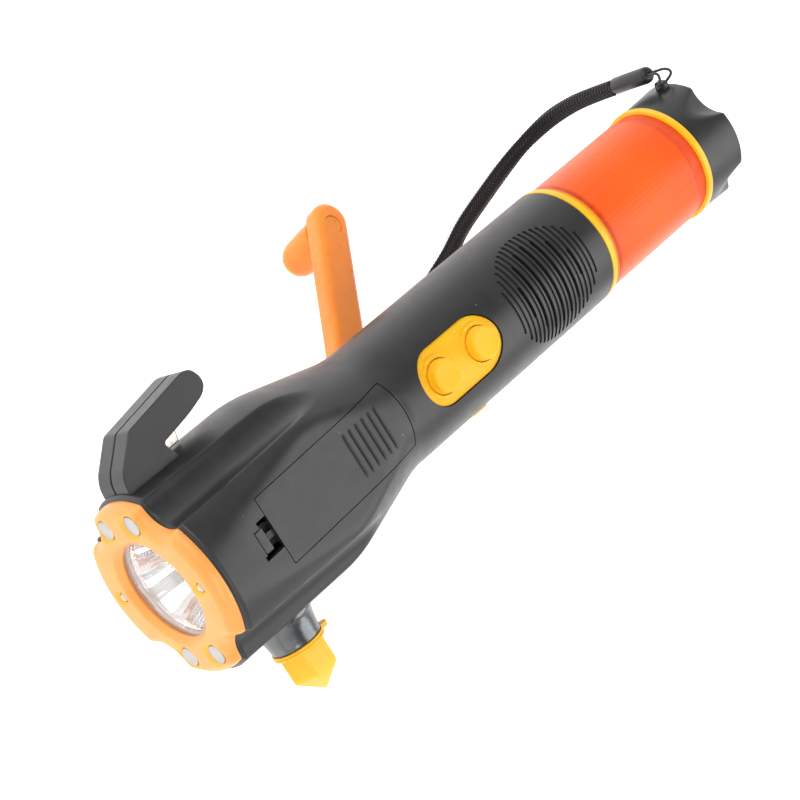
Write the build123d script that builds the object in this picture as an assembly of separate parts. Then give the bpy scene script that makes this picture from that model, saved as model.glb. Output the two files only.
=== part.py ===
from build123d import *
import os
from math import pi, sin, cos, tan, radians, degrees, sqrt, acos, atan2

# Hand crank flashlight with belt cutter, hammer, beacon and siren.
# Frame: origin at the centre of the flat magnetic front face, on the torch axis.
# +X runs from the front face to the tail, +Y is the belt cutter side,
# +Z is the side of the switch, battery door and speaker. Millimetres.

# ---- driving dimensions -------------------------------------------------
grip_r = 20.0            # grip radius
head_r = 28.6            # head radius over the lobes
head_x = 52.0            # end of the head's straight part
neck_x = 84.5            # end of the flare, start of the grip
front_x = 4.2            # front edge of the two shells, back of the bezel
grip_end = 176.8         # rear edge of the two shells
wall = 2.4               # shell wall
slope = 0.107            # fall of the flat top of the head per mm
flute_r = 8.0            # radius of the four flutes
flute_c = 31.9           # distance of the flute axes from the torch axis, at the front
flute_rise = 2.15        # outward tilt of the flute axes, degrees
flute_a = (51.0, 129.0, 231.0, 309.0)

bezel_r = 27.4
bezel_open_r = 15.3
magnet_r = 3.0
magnet_pcr = 22.1
magnet_half = 18.5       # degrees each side of the Y axis

door_x0, door_x1 = 25.4, 84.2
door_w = 10.3            # half width
door_t = 1.4

pad_x = 110.0            # switch pad centre
pad_half = 16.4
pad_w = 8.9
key_r = 5.2
key_dx = 8.6
key_travel = 1.0

grille_x = 152.0

ring_w = 2.1
beacon_r = 19.2
beacon_x1 = 226.9
cap_end = 245.5
cap_r = 20.1

hammer_x = 26.8
collar_y = 35.6
hex_r = 7.8
hammer_tip_y = 51.6

crank_x = 95.3
crank_phi = 43.2         # direction of the arm at rest, from +X towards +Y
crank_tau = 24.9         # outward tilt of the unfolded arm
crank_h = 8.5            # foot of the arm's mid plane line, from the hub axis
crank_off = 1.3          # hinge pin outside the mid plane
arm_len = 67.6           # hub axis to the centre of the arm's round end
knob_len = 65.0          # hub axis to knob axis, both along the arm
arm_w = 12.0
arm_t = 7.0
knob_r = 6.0
knob_end = 20.5
hub_r = 14.3

gear_m = 0.6
z_crank, z_idler_small, z_idler_big, z_rotor = 48, 12, 40, 10

floor_z = -63.4          # lowest point of the crank knob

os.makedirs("parts", exist_ok=True)


# ---- helpers ------------------------------------------------------------
def cx(r, x0, x1, y=0.0, z=0.0):
    return Pos((x0 + x1) / 2, y, z) * Rot(0, 90, 0) * Cylinder(r, abs(x1 - x0))


def cy(r, y0, y1, x=0.0, z=0.0):
    return Pos(x, (y0 + y1) / 2, z) * Rot(90, 0, 0) * Cylinder(r, abs(y1 - y0))


def cz(r, z0, z1, x=0.0, y=0.0):
    return Pos(x, y, (z0 + z1) / 2) * Cylinder(r, abs(z1 - z0))


def bx(x0, x1, y0, y1, z0, z1):
    return Pos((x0 + x1) / 2, (y0 + y1) / 2, (z0 + z1) / 2) * Box(x1 - x0, y1 - y0, z1 - z0)


def rev_x(pts, y=0.0, z=0.0):
    f = make_face(Polyline(*[(p[0], p[1], 0) for p in pts], close=True))
    return Pos(0, y, z) * revolve(f, Axis.X, 360)


def rev_z(pts, x=0.0, y=0.0):
    # pts are (radius, z)
    f = make_face(Polyline(*[(p[0], 0, p[1]) for p in pts], close=True))
    return Pos(x, y, 0) * revolve(f, Axis.Z, 360)


def rev_y(pts, x=0.0, z=0.0):
    # pts are (radius, y)
    f = make_face(Polyline(*[(p[0], p[1], 0) for p in pts], close=True))
    return Pos(x, 0, z) * revolve(f, Axis.Y, 360)


def plate_xy(pts, z0, z1):
    f = make_face(Polyline(*[(p[0], p[1], z0) for p in pts], close=True))
    return extrude(f, amount=z1 - z0, dir=(0, 0, 1))


def plate_xz(pts, y0, y1):
    f = make_face(Polyline(*[(p[0], y0, p[1]) for p in pts], close=True))
    return extrude(f, amount=y1 - y0, dir=(0, 1, 0))


def plate_yz(pts, x0, x1):
    f = make_face(Polyline(*[(x0, p[0], p[1]) for p in pts], close=True))
    return extrude(f, amount=x1 - x0, dir=(1, 0, 0))


def stadium_z(x0, x1, r, z0, z1, y=0.0):
    return bx(x0 + r, x1 - r, y - r, y + r, z0, z1) + cz(r, z0, z1, x0 + r, y) + cz(r, z0, z1, x1 - r, y)


def ring_x(r_out, r_in, x0, x1):
    return cx(r_out, x0, x1) - cx(r_in, x0 - 1, x1 + 1)


def dome_x(r, x_tip, x_back, y=0.0, z=0.0):
    # round-nosed LED body, nose towards -X
    pts = [(x_tip + r * (1 - cos(radians(a))), r * sin(radians(a))) for a in range(0, 91, 15)]
    return rev_x(pts + [(x_back, r), (x_back, 0)], y, z)


def save(shape, name):
    if isinstance(shape, (list, tuple)):
        shape = Compound(children=list(shape))
    export_step(shape, "parts/" + name + ".step")


def flute_tool(a, r, x0, x1):
    L = x1 - x0
    mid = (x0 + x1) / 2
    c = flute_c + (mid - front_x) * tan(radians(flute_rise))
    return Rot(-a, 0, 0) * (Pos(mid, 0, c) * Rot(0, 90 - flute_rise, 0) * Cylinder(r, L))


# ---- outer and inner body forms ----------------------------------------
def body_form(inset):
    r_h, r_g = head_r - inset, grip_r - inset
    k = inset * 0.13
    pts = [(front_x, 0), (front_x, r_h - (1.2 if inset == 0 else 0)), (front_x + 1.0, r_h),
           (head_x - k, r_h), (neck_x - k, r_g), (grip_end, r_g), (grip_end, 0)]
    b = rev_x(pts)
    for s in (1, -1):
        z0 = grip_r + slope * neck_x - inset
        z1 = grip_r - inset
        tri = [(-1.0, s * (z0 + slope)), (neck_x, s * z1), (neck_x, s * 60.0), (-1.0, s * 60.0)]
        b = b - plate_xz(tri, -50, 50)
    for a in flute_a:
        b = b - flute_tool(a, flute_r + inset, -4, 90)
    return b


outer = body_form(0.0)
inner = body_form(wall)
shell = outer - inner
upper = shell & bx(-1, 300, -80, 80, 0, 80)
lower = shell & bx(-1, 300, -80, 80, -80, 0)

# ---- belt cutter fin, two halves moulded on the shells -------------------
fin_half = 7.1           # half thickness of the fin
fin_pts = [(7.4, 26.0), (6.0, 26.5), (5.5, 28.0), (6.0, 31.4), (7.65, 34.1), (15.4, 41.45), (38.6, 45.1),
           (41.3, 44.2), (42.8, 41.0), (42.5, 38.5), (40.4, 36.6), (34.0, 34.8), (26.9, 33.6), (23.1, 33.0),
           (22.5, 32.3), (24.0, 28.5), (24.3, 26.0)]


def fin_solid(z0, z1):
    return plate_xy(fin_pts, z0, z1)


blade_pts = [(12.0, 29.4), (19.0, 33.9), (30.4, 35.2), (31.4, 33.6), (30.2, 29.2), (20.0, 28.9)]
blade = plate_xy(blade_pts, -0.3, 0.3)
blade_room = plate_xy([(11.9, 29.2), (11.9, 29.6), (18.9, 34.1), (31.0, 35.5), (31.8, 33.6), (30.6, 29.0), (19.9, 28.7)], -0.35, 0.35)

for s, half in ((1, "u"), (-1, "l")):
    z0, z1 = (0, fin_half) if s > 0 else (-fin_half, 0)
    f = fin_solid(z0, z1)
    f = f - inner
    if s > 0:
        upper = upper + f
    else:
        lower = lower + f
upper = upper - blade_room
lower = lower - blade_room

# ---- hammer seat ---------------------------------------------------------
collar_prof = [(0, -21.6), (4.5, -21.6), (4.5, -26.0), (9.6, -26.0), (9.6, -27.6), (8.8, -29.6), (8.3, -32.2),
               (7.9, -34.6), (7.9, -collar_y), (0, -collar_y)]
collar = rev_y(collar_prof, hammer_x)
collar_room = rev_y([(0, -20), (4.55, -20), (4.55, -26.0), (9.65, -26.0), (9.65, -40), (0, -40)], hammer_x)
tip_prof = [(0, -collar_y), (4.6, -collar_y), (4.6, -40.5), (0.6, -47.0), (0, -47.2)]
tip = rev_y(tip_prof, hammer_x)
nut = (cy(8.0, -25.3, -22.6, hammer_x) & plate_xz([(hammer_x + 7.2 * cos(radians(k * 60)), 7.2 * sin(radians(k * 60))) for k in range(6)], -30, -20)) - cy(4.5, -27, -20, hammer_x)
upper = upper - collar_room
lower = lower - collar_room
# flat pad inside for the nut
pad_in = (bx(hammer_x - 9.6, hammer_x + 9.6, -27.4, -25.35, -9.6, 9.6) & outer) - collar_room
upper = upper + (pad_in & bx(0, 100, -60, 60, 0, 60))
lower = lower + (pad_in & bx(0, 100, -60, 60, -60, 0))

# hammer cap: flange ring, hexagonal body, blunt hexagonal point, pull tab
cap_y0 = collar_y + 0.1
hx = [(hammer_x + hex_r * cos(radians(k * 60)), hex_r * sin(radians(k * 60))) for k in range(6)]
hexbody = plate_xz(hx, -45.1, -(cap_y0 + 1.5))
base_f = make_face(Polyline(*[(p[0], -45.1, p[1]) for p in hx], close=True))
top_f = make_face(Polyline(*[(hammer_x + (p[0] - hammer_x) * 0.05, -hammer_tip_y, p[1] * 0.05) for p in hx], close=True))
point = loft([base_f, top_f])
hammer_cap = cy(8.2, -(cap_y0 + 1.7), -cap_y0, hammer_x) + hexbody + point
hammer_cap = hammer_cap + cy(1.5, -(cap_y0 + 1.7), -cap_y0, hammer_x + 9.0, 1.5) + bx(hammer_x + 6.5, hammer_x + 9.0, -(cap_y0 + 1.7), -cap_y0, 0.2, 2.8)
hammer_cap = hammer_cap - rev_y([(0, -30), (4.9, -30), (4.9, -40.8), (1.0, -47.6), (0, -47.8)], hammer_x)

# ---- battery door --------------------------------------------------------
door_out = [(door_x0, -door_w), (82.5, -door_w), (83.6, -5.5), (door_x1, 0), (83.6, 5.5), (82.5, door_w), (door_x0, door_w)]
gap = 0.25
door_hole = [(door_x0 - gap, -door_w - gap), (82.8, -door_w - gap), (83.95, -5.6), (door_x1 + gap + 0.1, 0),
             (83.95, 5.6), (82.8, door_w + gap), (door_x0 - gap, door_w + gap)]
door_in = [(door_x0 + 1.2, -door_w + 1.4), (82.2, -door_w + 1.4), (82.2, door_w - 1.4), (door_x0 + 1.2, door_w - 1.4)]
form_door = body_form(door_t)
form_rec = body_form(door_t + 0.12)
door = (outer - form_door) & plate_xy(door_out, 8, 40)
upper = upper - ((outer - form_rec) & plate_xy(door_hole, 8, 40))
upper = upper - plate_xy(door_in, 8, 40)
# two hooks under the rear edge, one latch tongue at the front
zr = grip_r + slope * (neck_x - 80.0)
for yy in (-5.5, 5.5):
    door = door + bx(78.2, 80.6, yy - 1.6, yy + 1.6, zr - 4.4, zr - 1.2)
zf = grip_r + slope * (neck_x - door_x0)
latch_room = bx(19.0, door_x0 + 1.3, -4.9, 5.2, 18.0, 40)
upper = upper - latch_room
door = door + bx(door_x0 + 0.05, door_x0 + 1.1, -3.4, 3.2, zf - 4.2, zf - 1.0) \
    + bx(20.2, door_x0 + 1.1, -3.4, 3.2, zf - 4.2, zf - 3.2) \
    + bx(20.2, 22.3, -3.4, 3.2, zf - 4.2, zf + 0.1) \
    + bx(22.2, door_x0 + 0.1, -1.0, 0.9, zf - 3.3, zf - 1.0)
# keeper lip of the shell over the front ledge is the edge of the slot

# ---- battery tray, cells, contacts ---------------------------------------
cell_r, cell_l = 5.25, 44.5
cell_y, cell_z = 5.55, 12.2
cell_x0 = 30.6
cells = []
for s in (1, -1):
    y = s * cell_y
    c = cx(cell_r, cell_x0, cell_x0 + cell_l - 0.9, y, cell_z)
    nub_x = (cell_x0 + cell_l - 0.9, cell_x0 + cell_l) if s > 0 else (cell_x0 - 0.9, cell_x0)
    c = c + cx(1.8, nub_x[0] - 0.01, nub_x[1], y, cell_z)
    cells.append(c)
tray = bx(28.2, 77.6, -11.4, 11.4, 5.0, 12.4)
for s in (1, -1):
    tray = tray - cx(cell_r + 0.25, 29.4, 76.4, s * cell_y, cell_z)
tray = tray - bx(29.4, 76.4, -10.8, 10.8, 12.2, 14)
tray = tray & (body_form(wall + 0.3))
contacts = []
for s in (1, -1):
    y = s * cell_y
    contacts.append(bx(29.5, 29.65, y - 3.4, y + 3.4, 8.4, 12.1))
    contacts.append(bx(76.15, 76.3, y - 3.4, y + 3.4, 8.4, 12.1))

# ---- switch pad and keys -------------------------------------------------
pad_room = stadium_z(pad_x - pad_half - 0.3, pad_x + pad_half + 0.3, pad_w + 0.3, 14.6, 30)
pad_floor = stadium_z(pad_x - pad_half - 1.6, pad_x + pad_half + 1.6, pad_w + 1.6, 13.6, 17.8) & outer
upper = upper + pad_floor - pad_room
floor_hole = stadium_z(pad_x - pad_half + 1.4, pad_x + pad_half - 1.4, pad_w - 1.4, 12, 20)
upper = upper - floor_hole
pad = stadium_z(pad_x - pad_half, pad_x + pad_half, pad_w, 14.65, 24) & rev_x([(90, 0), (90, grip_r - 0.5), (130, grip_r - 0.5), (130, 0)])
pad = pad - stadium_z(pad_x - pad_half + 1.8, pad_x + pad_half - 1.8, pad_w - 1.8, 14, 17.4)
keys = {}
for nm, sx in (("front_key", -1), ("rear_key", 1)):
    kx = pad_x + sx * key_dx
    pad = pad - cz(key_r + 0.3, 14, 30, kx)
    k = cz(key_r, 15.8, 22.6, kx)
    k = k - Pos(kx, 0, 22.6 + 30.0 - 0.35) * Sphere(30.0)
    k = k + cz(1.6, 13.5, 15.8, kx)
    keys[nm] = k
# main board with tact switches
board = bx(88.0, 133.0, -11.2, 11.2, 8.6, 10.0) - cz(2.9, 5, 15, 118, 11.8) - cz(2.9, 5, 15, 118, -11.8)
tacts = []
for sx in (-1, 1):
    kx = pad_x + sx * key_dx
    tacts.append(bx(kx - 3, kx + 3, -3, 3, 10.0, 11.8) + cz(1.4, 11.8, 12.4, kx))

# ---- speaker -------------------------------------------------------------
half_len = [(-11.4, 4.95), (-7.6, 10.45), (-3.8, 12.9), (0.0, 13.3), (3.8, 12.7), (7.6, 10.3), (11.4, 4.95)]
for dx, hw in half_len:
    upper = upper - bx(grille_x + dx - 0.5, grille_x + dx + 0.5, -hw, hw, 10.5, 30)
speaker = cz(13.0, 9.4, 11.6, grille_x) + cz(8.0, 6.0, 9.4, grille_x)
speaker = speaker - rev_z([(0, 10.4), (10.4, 11.7), (10.4, 13), (0, 13)], grille_x)
spk_ring = (cz(14.4, 8.0, 9.3, grille_x) - cz(11.0, 7, 11, grille_x)) & body_form(wall + 0.05)

# ---- casing screws -------------------------------------------------------
screw_pos = [(46.0, 18.0), (46.0, -18.0), (118.0, 11.8), (118.0, -11.8)]
screws = []
for (sx, sy) in screw_pos:
    zb = -sqrt((head_r if sx < 60 else grip_r) ** 2 - sy ** 2)
    ztop = 14.0 if sx < 60 else 8.2
    post_l = cz(3.0, zb, -0.0, sx, sy) & outer
    post_u = cz(3.0, 0.0, ztop, sx, sy)
    lower = lower + post_l
    upper = upper + post_u
    if sx > 60:
        ya, yb = (13.0, 19.0) if sy > 0 else (-19.0, -13.0)
        upper = upper + (bx(sx - 1.0, sx + 1.0, ya, yb, 0, ztop) & outer)
    lower = lower - cz(1.5, zb - 3, 1, sx, sy) - cz(2.6, zb - 3, zb + 5.0, sx, sy)
    upper = upper - cz(1.2, -1, ztop - 1.5, sx, sy)
    scr = cz(1.19, zb + 5.0, ztop - 2.5, sx, sy) + cz(2.4, zb + 3.2, zb + 5.0, sx, sy)
    scr = scr - bx(sx - 1.6, sx + 1.6, sy - 0.3, sy + 0.3, zb + 3.0, zb + 3.9)
    screws.append(scr)

# ---- crank seat, knob pocket and charging port in the lower shell --------
seat = (cz(17.2, -15.2, -13.0, crank_x) & body_form(0.5))
lower = lower + seat
lower = lower - cz(hub_r + 1.3, -40, -15.2, crank_x)
lower = lower - cz(4.0, -20, -10, crank_x)
bush = cz(4.0, -15.2, -13.0, crank_x) - cz(2.55, -20, -10, crank_x)
pocket_x = crank_x + 47.68
lower = lower + (cz(8.6, -19.0, -1.4, pocket_x) & body_form(0.5))
lower = lower - cz(7.3, -40, -2.6, pocket_x)
port_x0, port_x1 = 90.0, 119.5
port_z = 0.6
lower = lower - bx(97.5, 107.0, -25, -15, -5.6, -2.2)
lower = lower - ((bx(port_x0 - 0.3, port_x1 + 0.3, -25, -10, -6.4, 0) & outer) - body_form(1.2))
upper = upper - ((bx(port_x0 - 0.3, port_x1 + 0.3, -25, -10, 0, 6.2) & outer) - body_form(1.2))
plug_form = rev_x([(80, 0), (80, grip_r + 0.45), (130, grip_r + 0.45), (130, 0)])
port_plug = (bx(port_x0, port_x1, -25, -10, -6.1, 5.9) & plug_form) - cx(grip_r - 1.1, 80, 130)
socket = bx(97.7, 106.8, -17.3, -11.0, -5.4, -2.4) - bx(98.6, 105.9, -18.0, -12.4, -4.6, -3.2)

save(upper, "upper_shell")
save(lower, "lower_shell")
save(blade, "cutter_blade")
save(collar, "hammer_collar")
save(tip, "hammer_tip")
save(nut, "hammer_nut")
save(hammer_cap, "hammer_cap")
save(door, "battery_door")
save(tray, "battery_tray")
save(cells, "battery_cells")
save(contacts, "tray_contacts")
save(pad, "switch_pad")
save(keys["front_key"], "front_key")
save(keys["rear_key"], "rear_key")
save(board, "main_board")
save(tacts, "tact_switches")
save(speaker, "speaker")
save(spk_ring, "speaker_ring")
save(screws, "casing_screws")
save(bush, "crank_bush")
save(port_plug, "port_plug")
save(socket, "charge_socket")

# ---- front end -----------------------------------------------------------
bezel = rev_x([(0, 0), (0, 24.6), (0.7, 26.0), (1.8, 27.0), (3.0, bezel_r), (4.2, bezel_r), (4.2, 21.0), (9.0, 21.0), (9.0, 0)])
bezel = bezel - cx(17.4, 2.2, 12) - rev_x([(-1, 0), (-1, bezel_open_r + 1.9), (1.6, bezel_open_r), (3, bezel_open_r), (3, 0)])
for a in flute_a:
    bezel = bezel - flute_tool(a, flute_r + 0.4, -3, 11.5)
mags = []
for base in (90, -90):
    for s in (1, -1):
        a = radians(base + s * magnet_half)
        y, z = magnet_pcr * sin(a), magnet_pcr * cos(a)
        bezel = bezel - cx(magnet_r + 0.05, -1, 2.6, y, z) - rev_x([(-0.1, 0), (-0.1, 4.3), (0.5, 3.8), (0.9, 3.06), (0.9, 0)], y, z)
        mags.append(cx(magnet_r, 0.55, 2.6, y, z))
leds2 = []
for s in (1, -1):
    z = s * 20.6
    bezel = bezel - cx(1.55, -1, 10, 0, z) - rev_x([(-0.1, 0), (-0.1, 2.7), (0.8, 1.56), (0.8, 0)], 0, z)
    leds2.append(dome_x(1.5, 0.1, 8.6, 0, z))
lens = cx(17.3, 2.3, 3.8)
seal = ring_x(17.3, 15.8, 3.85, 4.7)
foc = 3.14
vx = 23.4
refl_in, refl_out = [], []
for i in range(9):
    x = 5.0 + (22.1 - 5.0) * i / 8
    r = sqrt(4 * foc * (vx - x))
    refl_in.append((x, r))
    refl_out.append((x, r + 0.9))
prof = [(4.75, 17.2), (4.75, refl_in[0][1])] + refl_in + refl_out[::-1][:-1] + [(5.9, refl_out[0][1]), (5.9, 17.2)]
reflector = rev_x(prof)
led_board = cx(10.0, 22.9, 24.5)
main_led = dome_x(2.4, 17.2, 22.9) + cx(2.75, 22.2, 22.9)
save(bezel, "front_bezel")
save(mags, "bezel_magnets")
save(leds2, "signal_leds")
save(lens, "lens")
save(seal, "lens_seal")
save(reflector, "reflector")
save(led_board, "led_board")
save(main_led, "main_led")

# ---- beacon and tail -----------------------------------------------------
front_ring = ring_x(grip_r, 16.6, grip_end, grip_end + ring_w) + ring_x(17.45, 16.0, grip_end - 5.0, grip_end + 0.5)
lens_x0 = grip_end + ring_w
beacon = rev_x([(lens_x0, 17.2), (lens_x0, beacon_r), (222.0, beacon_r), (222.6, beacon_r - 0.35), (beacon_x1, beacon_r - 0.35), (beacon_x1, 17.2)])
rear_ring = ring_x(grip_r, 16.6, beacon_x1, beacon_x1 + ring_w)
core = cx(9.0, 181.0, 222.0) - cx(7.6, 180.0, 220.5)
beacon_board = ring_x(16.4, 3.0, 222.2, 223.8)
bleds = []
for k in range(6):
    a = radians(60 * k + 30)
    y, z = 12.4 * sin(a), 12.4 * cos(a)
    bleds.append(dome_x(2.45, 213.6, 222.2, y, z))
cap_x0 = beacon_x1 + ring_w
cap_tail = rev_x([(cap_x0, 0), (cap_x0, 19.6), (cap_end - 1.2, cap_r), (cap_end, cap_r - 1.0), (cap_end, 0)])
cap_tail = cap_tail - cx(16.8, cap_x0 - 1, cap_end - 3.0)
for k in range(4):
    a = 33.0 + 90.0 * k
    # slanted scallop, deepest at the tail end
    tool = Rot(-a, 0, 0) * (Pos(cap_end, 0, 27.6) * Rot(0, 17.0, 0) * Rot(0, 90, 0) * Cylinder(10.6, 60))
    cap_tail = cap_tail - (tool & bx(cap_x0 + 2.5, 270, -60, 60, -60, 60))
lug_a = 78.0
er = (0.0, sin(radians(lug_a)), cos(radians(lug_a)))
lug = Rot(-lug_a, 0, 0) * (bx(240.6, 242.8, -2.2, 2.2, 17.5, 22.5))
cap_tail = cap_tail + lug
hy, hz = 20.9 * er[1], 20.9 * er[2]
cap_tail = cap_tail - cx(0.95, 239.0, 244.4, hy, hz)
save(front_ring, "front_ring")
save(rear_ring, "rear_ring")
save(beacon, "beacon_lens")
save(core, "beacon_core")
save(beacon_board, "beacon_board")
save(bleds, "beacon_leds")
save(cap_tail, "tail_cap")


# ---- gears ---------------------------------------------------------------
def gear(z, x, zlo, zhi, bore, phase):
    al = radians(25.0)
    rp = gear_m * z / 2
    rb = rp * cos(al)
    ra = rp + 0.8 * gear_m
    rf = rp - 1.05 * gear_m
    half = (pi * gear_m / 2 - 0.09) / 2 / rp
    inv0 = tan(al) - al

    def ph(r):
        if r <= rb:
            return half + inv0
        t = acos(rb / r)
        return half + inv0 - (tan(t) - t)
    r0 = max(rb, rf)
    rs = [r0 + (ra - r0) * i / 3 for i in range(4)]
    flank = [(r, ph(r)) for r in rs]
    if rf < rb:
        flank = [(rf, ph(rb))] + flank
    pts = []
    for k in range(z):
        c = phase + 2 * pi * k / z
        for r, p in flank:
            pts.append((x + r * cos(c - p), r * sin(c - p)))
        for r, p in flank[::-1]:
            pts.append((x + r * cos(c + p), r * sin(c + p)))
    g = plate_xy(pts, zlo, zhi)
    return g - cz(bore, zlo - 1, zhi + 1, x)


idler_x = crank_x - gear_m * (z_crank + z_idler_small) / 2
rotor_x = idler_x - gear_m * (z_idler_big + z_rotor) / 2
crank_gear = gear(z_crank, crank_x, -8.6, -6.4, 2.5, 0.0)
for k in range(5):
    a = 2 * pi * k / 5
    crank_gear = crank_gear - cz(2.4, -10, -5, crank_x + 8.6 * cos(a), 8.6 * sin(a))
idler = gear(z_idler_small, idler_x, -8.7, -5.8, 1.05, pi / z_idler_small) + gear(z_idler_big, idler_x, -5.8, -4.2, 1.05, 0.0)
rotor_pinion = gear(z_rotor, rotor_x, -6.0, -3.9, 1.0, pi / z_rotor)
idler_pin = cz(1.0, -10.6, 2.4, idler_x)
rotor_shaft = cz(1.0, -10.5, 2.3, rotor_x)
rotor_magnet = cz(6.5, -3.4, 0.4, rotor_x) - cz(1.0, -5, 2, rotor_x)
stator = cz(10.4, -3.6, 0.8, rotor_x) - cz(6.9, -5, 2, rotor_x)
core_ring = cz(11.6, -3.2, 0.4, rotor_x) - cz(10.4, -5, 2, rotor_x)
crank_shaft = cz(2.5, -19.0, 2.2, crank_x)
plate_pts = [(48.0, -12.0), (110.6, -12.0), (110.6, 12.0), (48.0, 12.0)]
base_plate = plate_xy(plate_pts, -10.6, -9.6) - cz(2.6, -12, -8, crank_x) - cz(1.0, -12, -8, idler_x) - cz(1.05, -12, -8, rotor_x)
top_plate = plate_xy(plate_pts, 1.4, 2.4) - cz(2.6, 0, 4, crank_x) - cz(1.0, 0, 4, idler_x) - cz(1.05, 0, 4, rotor_x)
for px, py in ((50.5, 10.0), (50.5, -10.0), (108.4, 11.0), (108.4, -11.0)):
    base_plate = base_plate + cz(1.4, -9.6, 1.4, px, py)
pack_cell = cx(7.1, 113.0, 131.0, 0, -8.4)
save(crank_gear, "crank_gear")
save(idler, "idler_gear")
save(rotor_pinion, "rotor_pinion")
save(idler_pin, "idler_pin")
save(rotor_shaft, "rotor_shaft")
save(rotor_magnet, "rotor_magnet")
save(stator, "stator_coil")
save(core_ring, "stator_core")
save(crank_shaft, "crank_shaft")
save(base_plate, "gearbox_base")
save(top_plate, "gearbox_top")
save(pack_cell, "charge_pack")

# ---- crank ---------------------------------------------------------------
ph, ta = radians(crank_phi), radians(crank_tau)
U = (cos(ph), sin(ph), 0.0)
A = (cos(ta) * cos(ph), cos(ta) * sin(ph), -sin(ta))
K = (-sin(ta) * cos(ph), -sin(ta) * sin(ph), -cos(ta))
foot_z = -17.5 - tan(ta) * crank_h
foot = (crank_x + crank_h * U[0], crank_h * U[1], foot_z)
pin = tuple(foot[i] + K[i] * crank_off for i in range(3))
s_end = arm_len - crank_h / cos(ta)
s_knob = knob_len - crank_h / cos(ta)
# hub local frame: x along the arm's level direction, z up, origin on the hub axis
hubL = Location((crank_x, 0, 0), (0, 0, crank_phi))
pin_u = (pin[0] - crank_x) * U[0] + pin[1] * U[1]
pin_z = pin[2]
hub = cz(hub_r, -20.2, -15.7)
hub = hub - bx(4.6, 16, -6.35, 6.35, -21.5, -17.8)
for s in (1, -1):
    y0, y1 = (6.4, 8.6) if s > 0 else (-8.6, -6.4)
    hub = hub + bx(5.0, 10.9, y0, y1, -22.6, -19.0) + cy(2.95, y0, y1, pin_u, pin_z)
hub = hub - cy(1.25, -12, 12, pin_u, pin_z) - cz(2.5, -19.0, -10)
hub = hubL * hub
arm_pin = hubL * cy(1.25, -8.5, 8.5, pin_u, pin_z)

armL = Plane(origin=foot, x_dir=A, z_dir=(-K[0], -K[1], -K[2])).location
h2 = arm_t / 2
arm = bx(0.4, s_end, -arm_w / 2, arm_w / 2, -h2, h2) + cz(arm_w / 2, -h2, h2, s_end)
try:
    top_edges = arm.faces().sort_by(Axis.Z)[-1].edges().filter_by(lambda e: e.center().X > 1.0)
    arm = fillet(top_edges, 2.6)
    bot_edges = arm.faces().sort_by(Axis.Z)[0].edges().filter_by(lambda e: e.center().X > 1.0)
    arm = fillet(bot_edges, 1.2)
except Exception as ex:
    print("arm fillet left out:", ex)
# knuckle round the pin, between the hub's ears
knuckle = cy(2.9, -6.0, 6.0, 0.0, -crank_off)
arm = arm + knuckle + bx(0.0, 3.0, -6.0, 6.0, -crank_off - 2.2, -crank_off + 2.9)
arm = arm - cy(1.28, -12, 12, 0.0, -crank_off)
arm = arm - cz(1.5, -8, 8, s_knob) - cz(3.05, h2 - 1.2, h2 + 3, s_knob)
arm = armL * arm
knob_pin = armL * (cz(1.5, -16.0, h2 - 0.4, s_knob) + cz(3.0, h2 - 1.2, h2 - 0.4, s_knob))
kp = [(1.56, -3.8), (knob_r - 0.6, -3.8), (knob_r, -4.6), (knob_r + 0.15, -8.0), (knob_r, -15.0),
      (knob_r * 0.93, -17.2), (knob_r * 0.75, -19.1), (knob_r * 0.45, -20.2), (0.0, -knob_end), (0.0, -16.6), (1.56, -16.6)]
knob = armL * rev_z(kp, s_knob)
save(hub, "crank_hub")
save(arm_pin, "arm_pin")
save(arm, "crank_arm")
save(knob_pin, "knob_spindle")
save(knob, "crank_knob")

# ---- strap: string loop, bead, wrist band ---------------------------------
string_d = 1.1
bead_x, bead_y = 240.6, 25.6
bead_z0, bead_z1 = -13.4, 3.4
string_pts = [(239.8, bead_y, -5.0), (239.8, bead_y, 4.4), (239.5, 25.2, 8.2), (238.4, 22.6, 8.4), (238.7, 20.8, 4.9),
              (241.7, hy, hz), (244.7, 20.8, 4.9), (245.0, 22.7, 8.2), (242.6, 25.2, 9.0), (241.4, bead_y, 4.6), (241.4, bead_y, -5.0)]


def tube(pts, d, rmin, rmax=60.0, label=""):
    v = [Vector(*p) for p in pts]
    rad = []
    for i in range(1, len(v) - 1):
        a, b = v[i] - v[i - 1], v[i + 1] - v[i]
        t = radians(a.get_angle(b))
        run = min(a.length, b.length)
        r = 0.45 * run / tan(max(t, 0.01) / 2)
        rad.append(r)
    path = FilletPolyline(*pts, radius=rad)
    e0 = path.edges()[0]
    w = path
    p0 = w @ 0
    d0 = w % 0
    prof = Plane(origin=p0, z_dir=d0) * Circle(d / 2)
    s = sweep(prof, path=w, transition=Transition.RIGHT)
    print(label, "length %.1f" % w.length, "volume ratio %.4f" % (s.volume / (pi * d * d / 4 * w.length)), "radii", ["%.1f" % r for r in rad])
    return s


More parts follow.
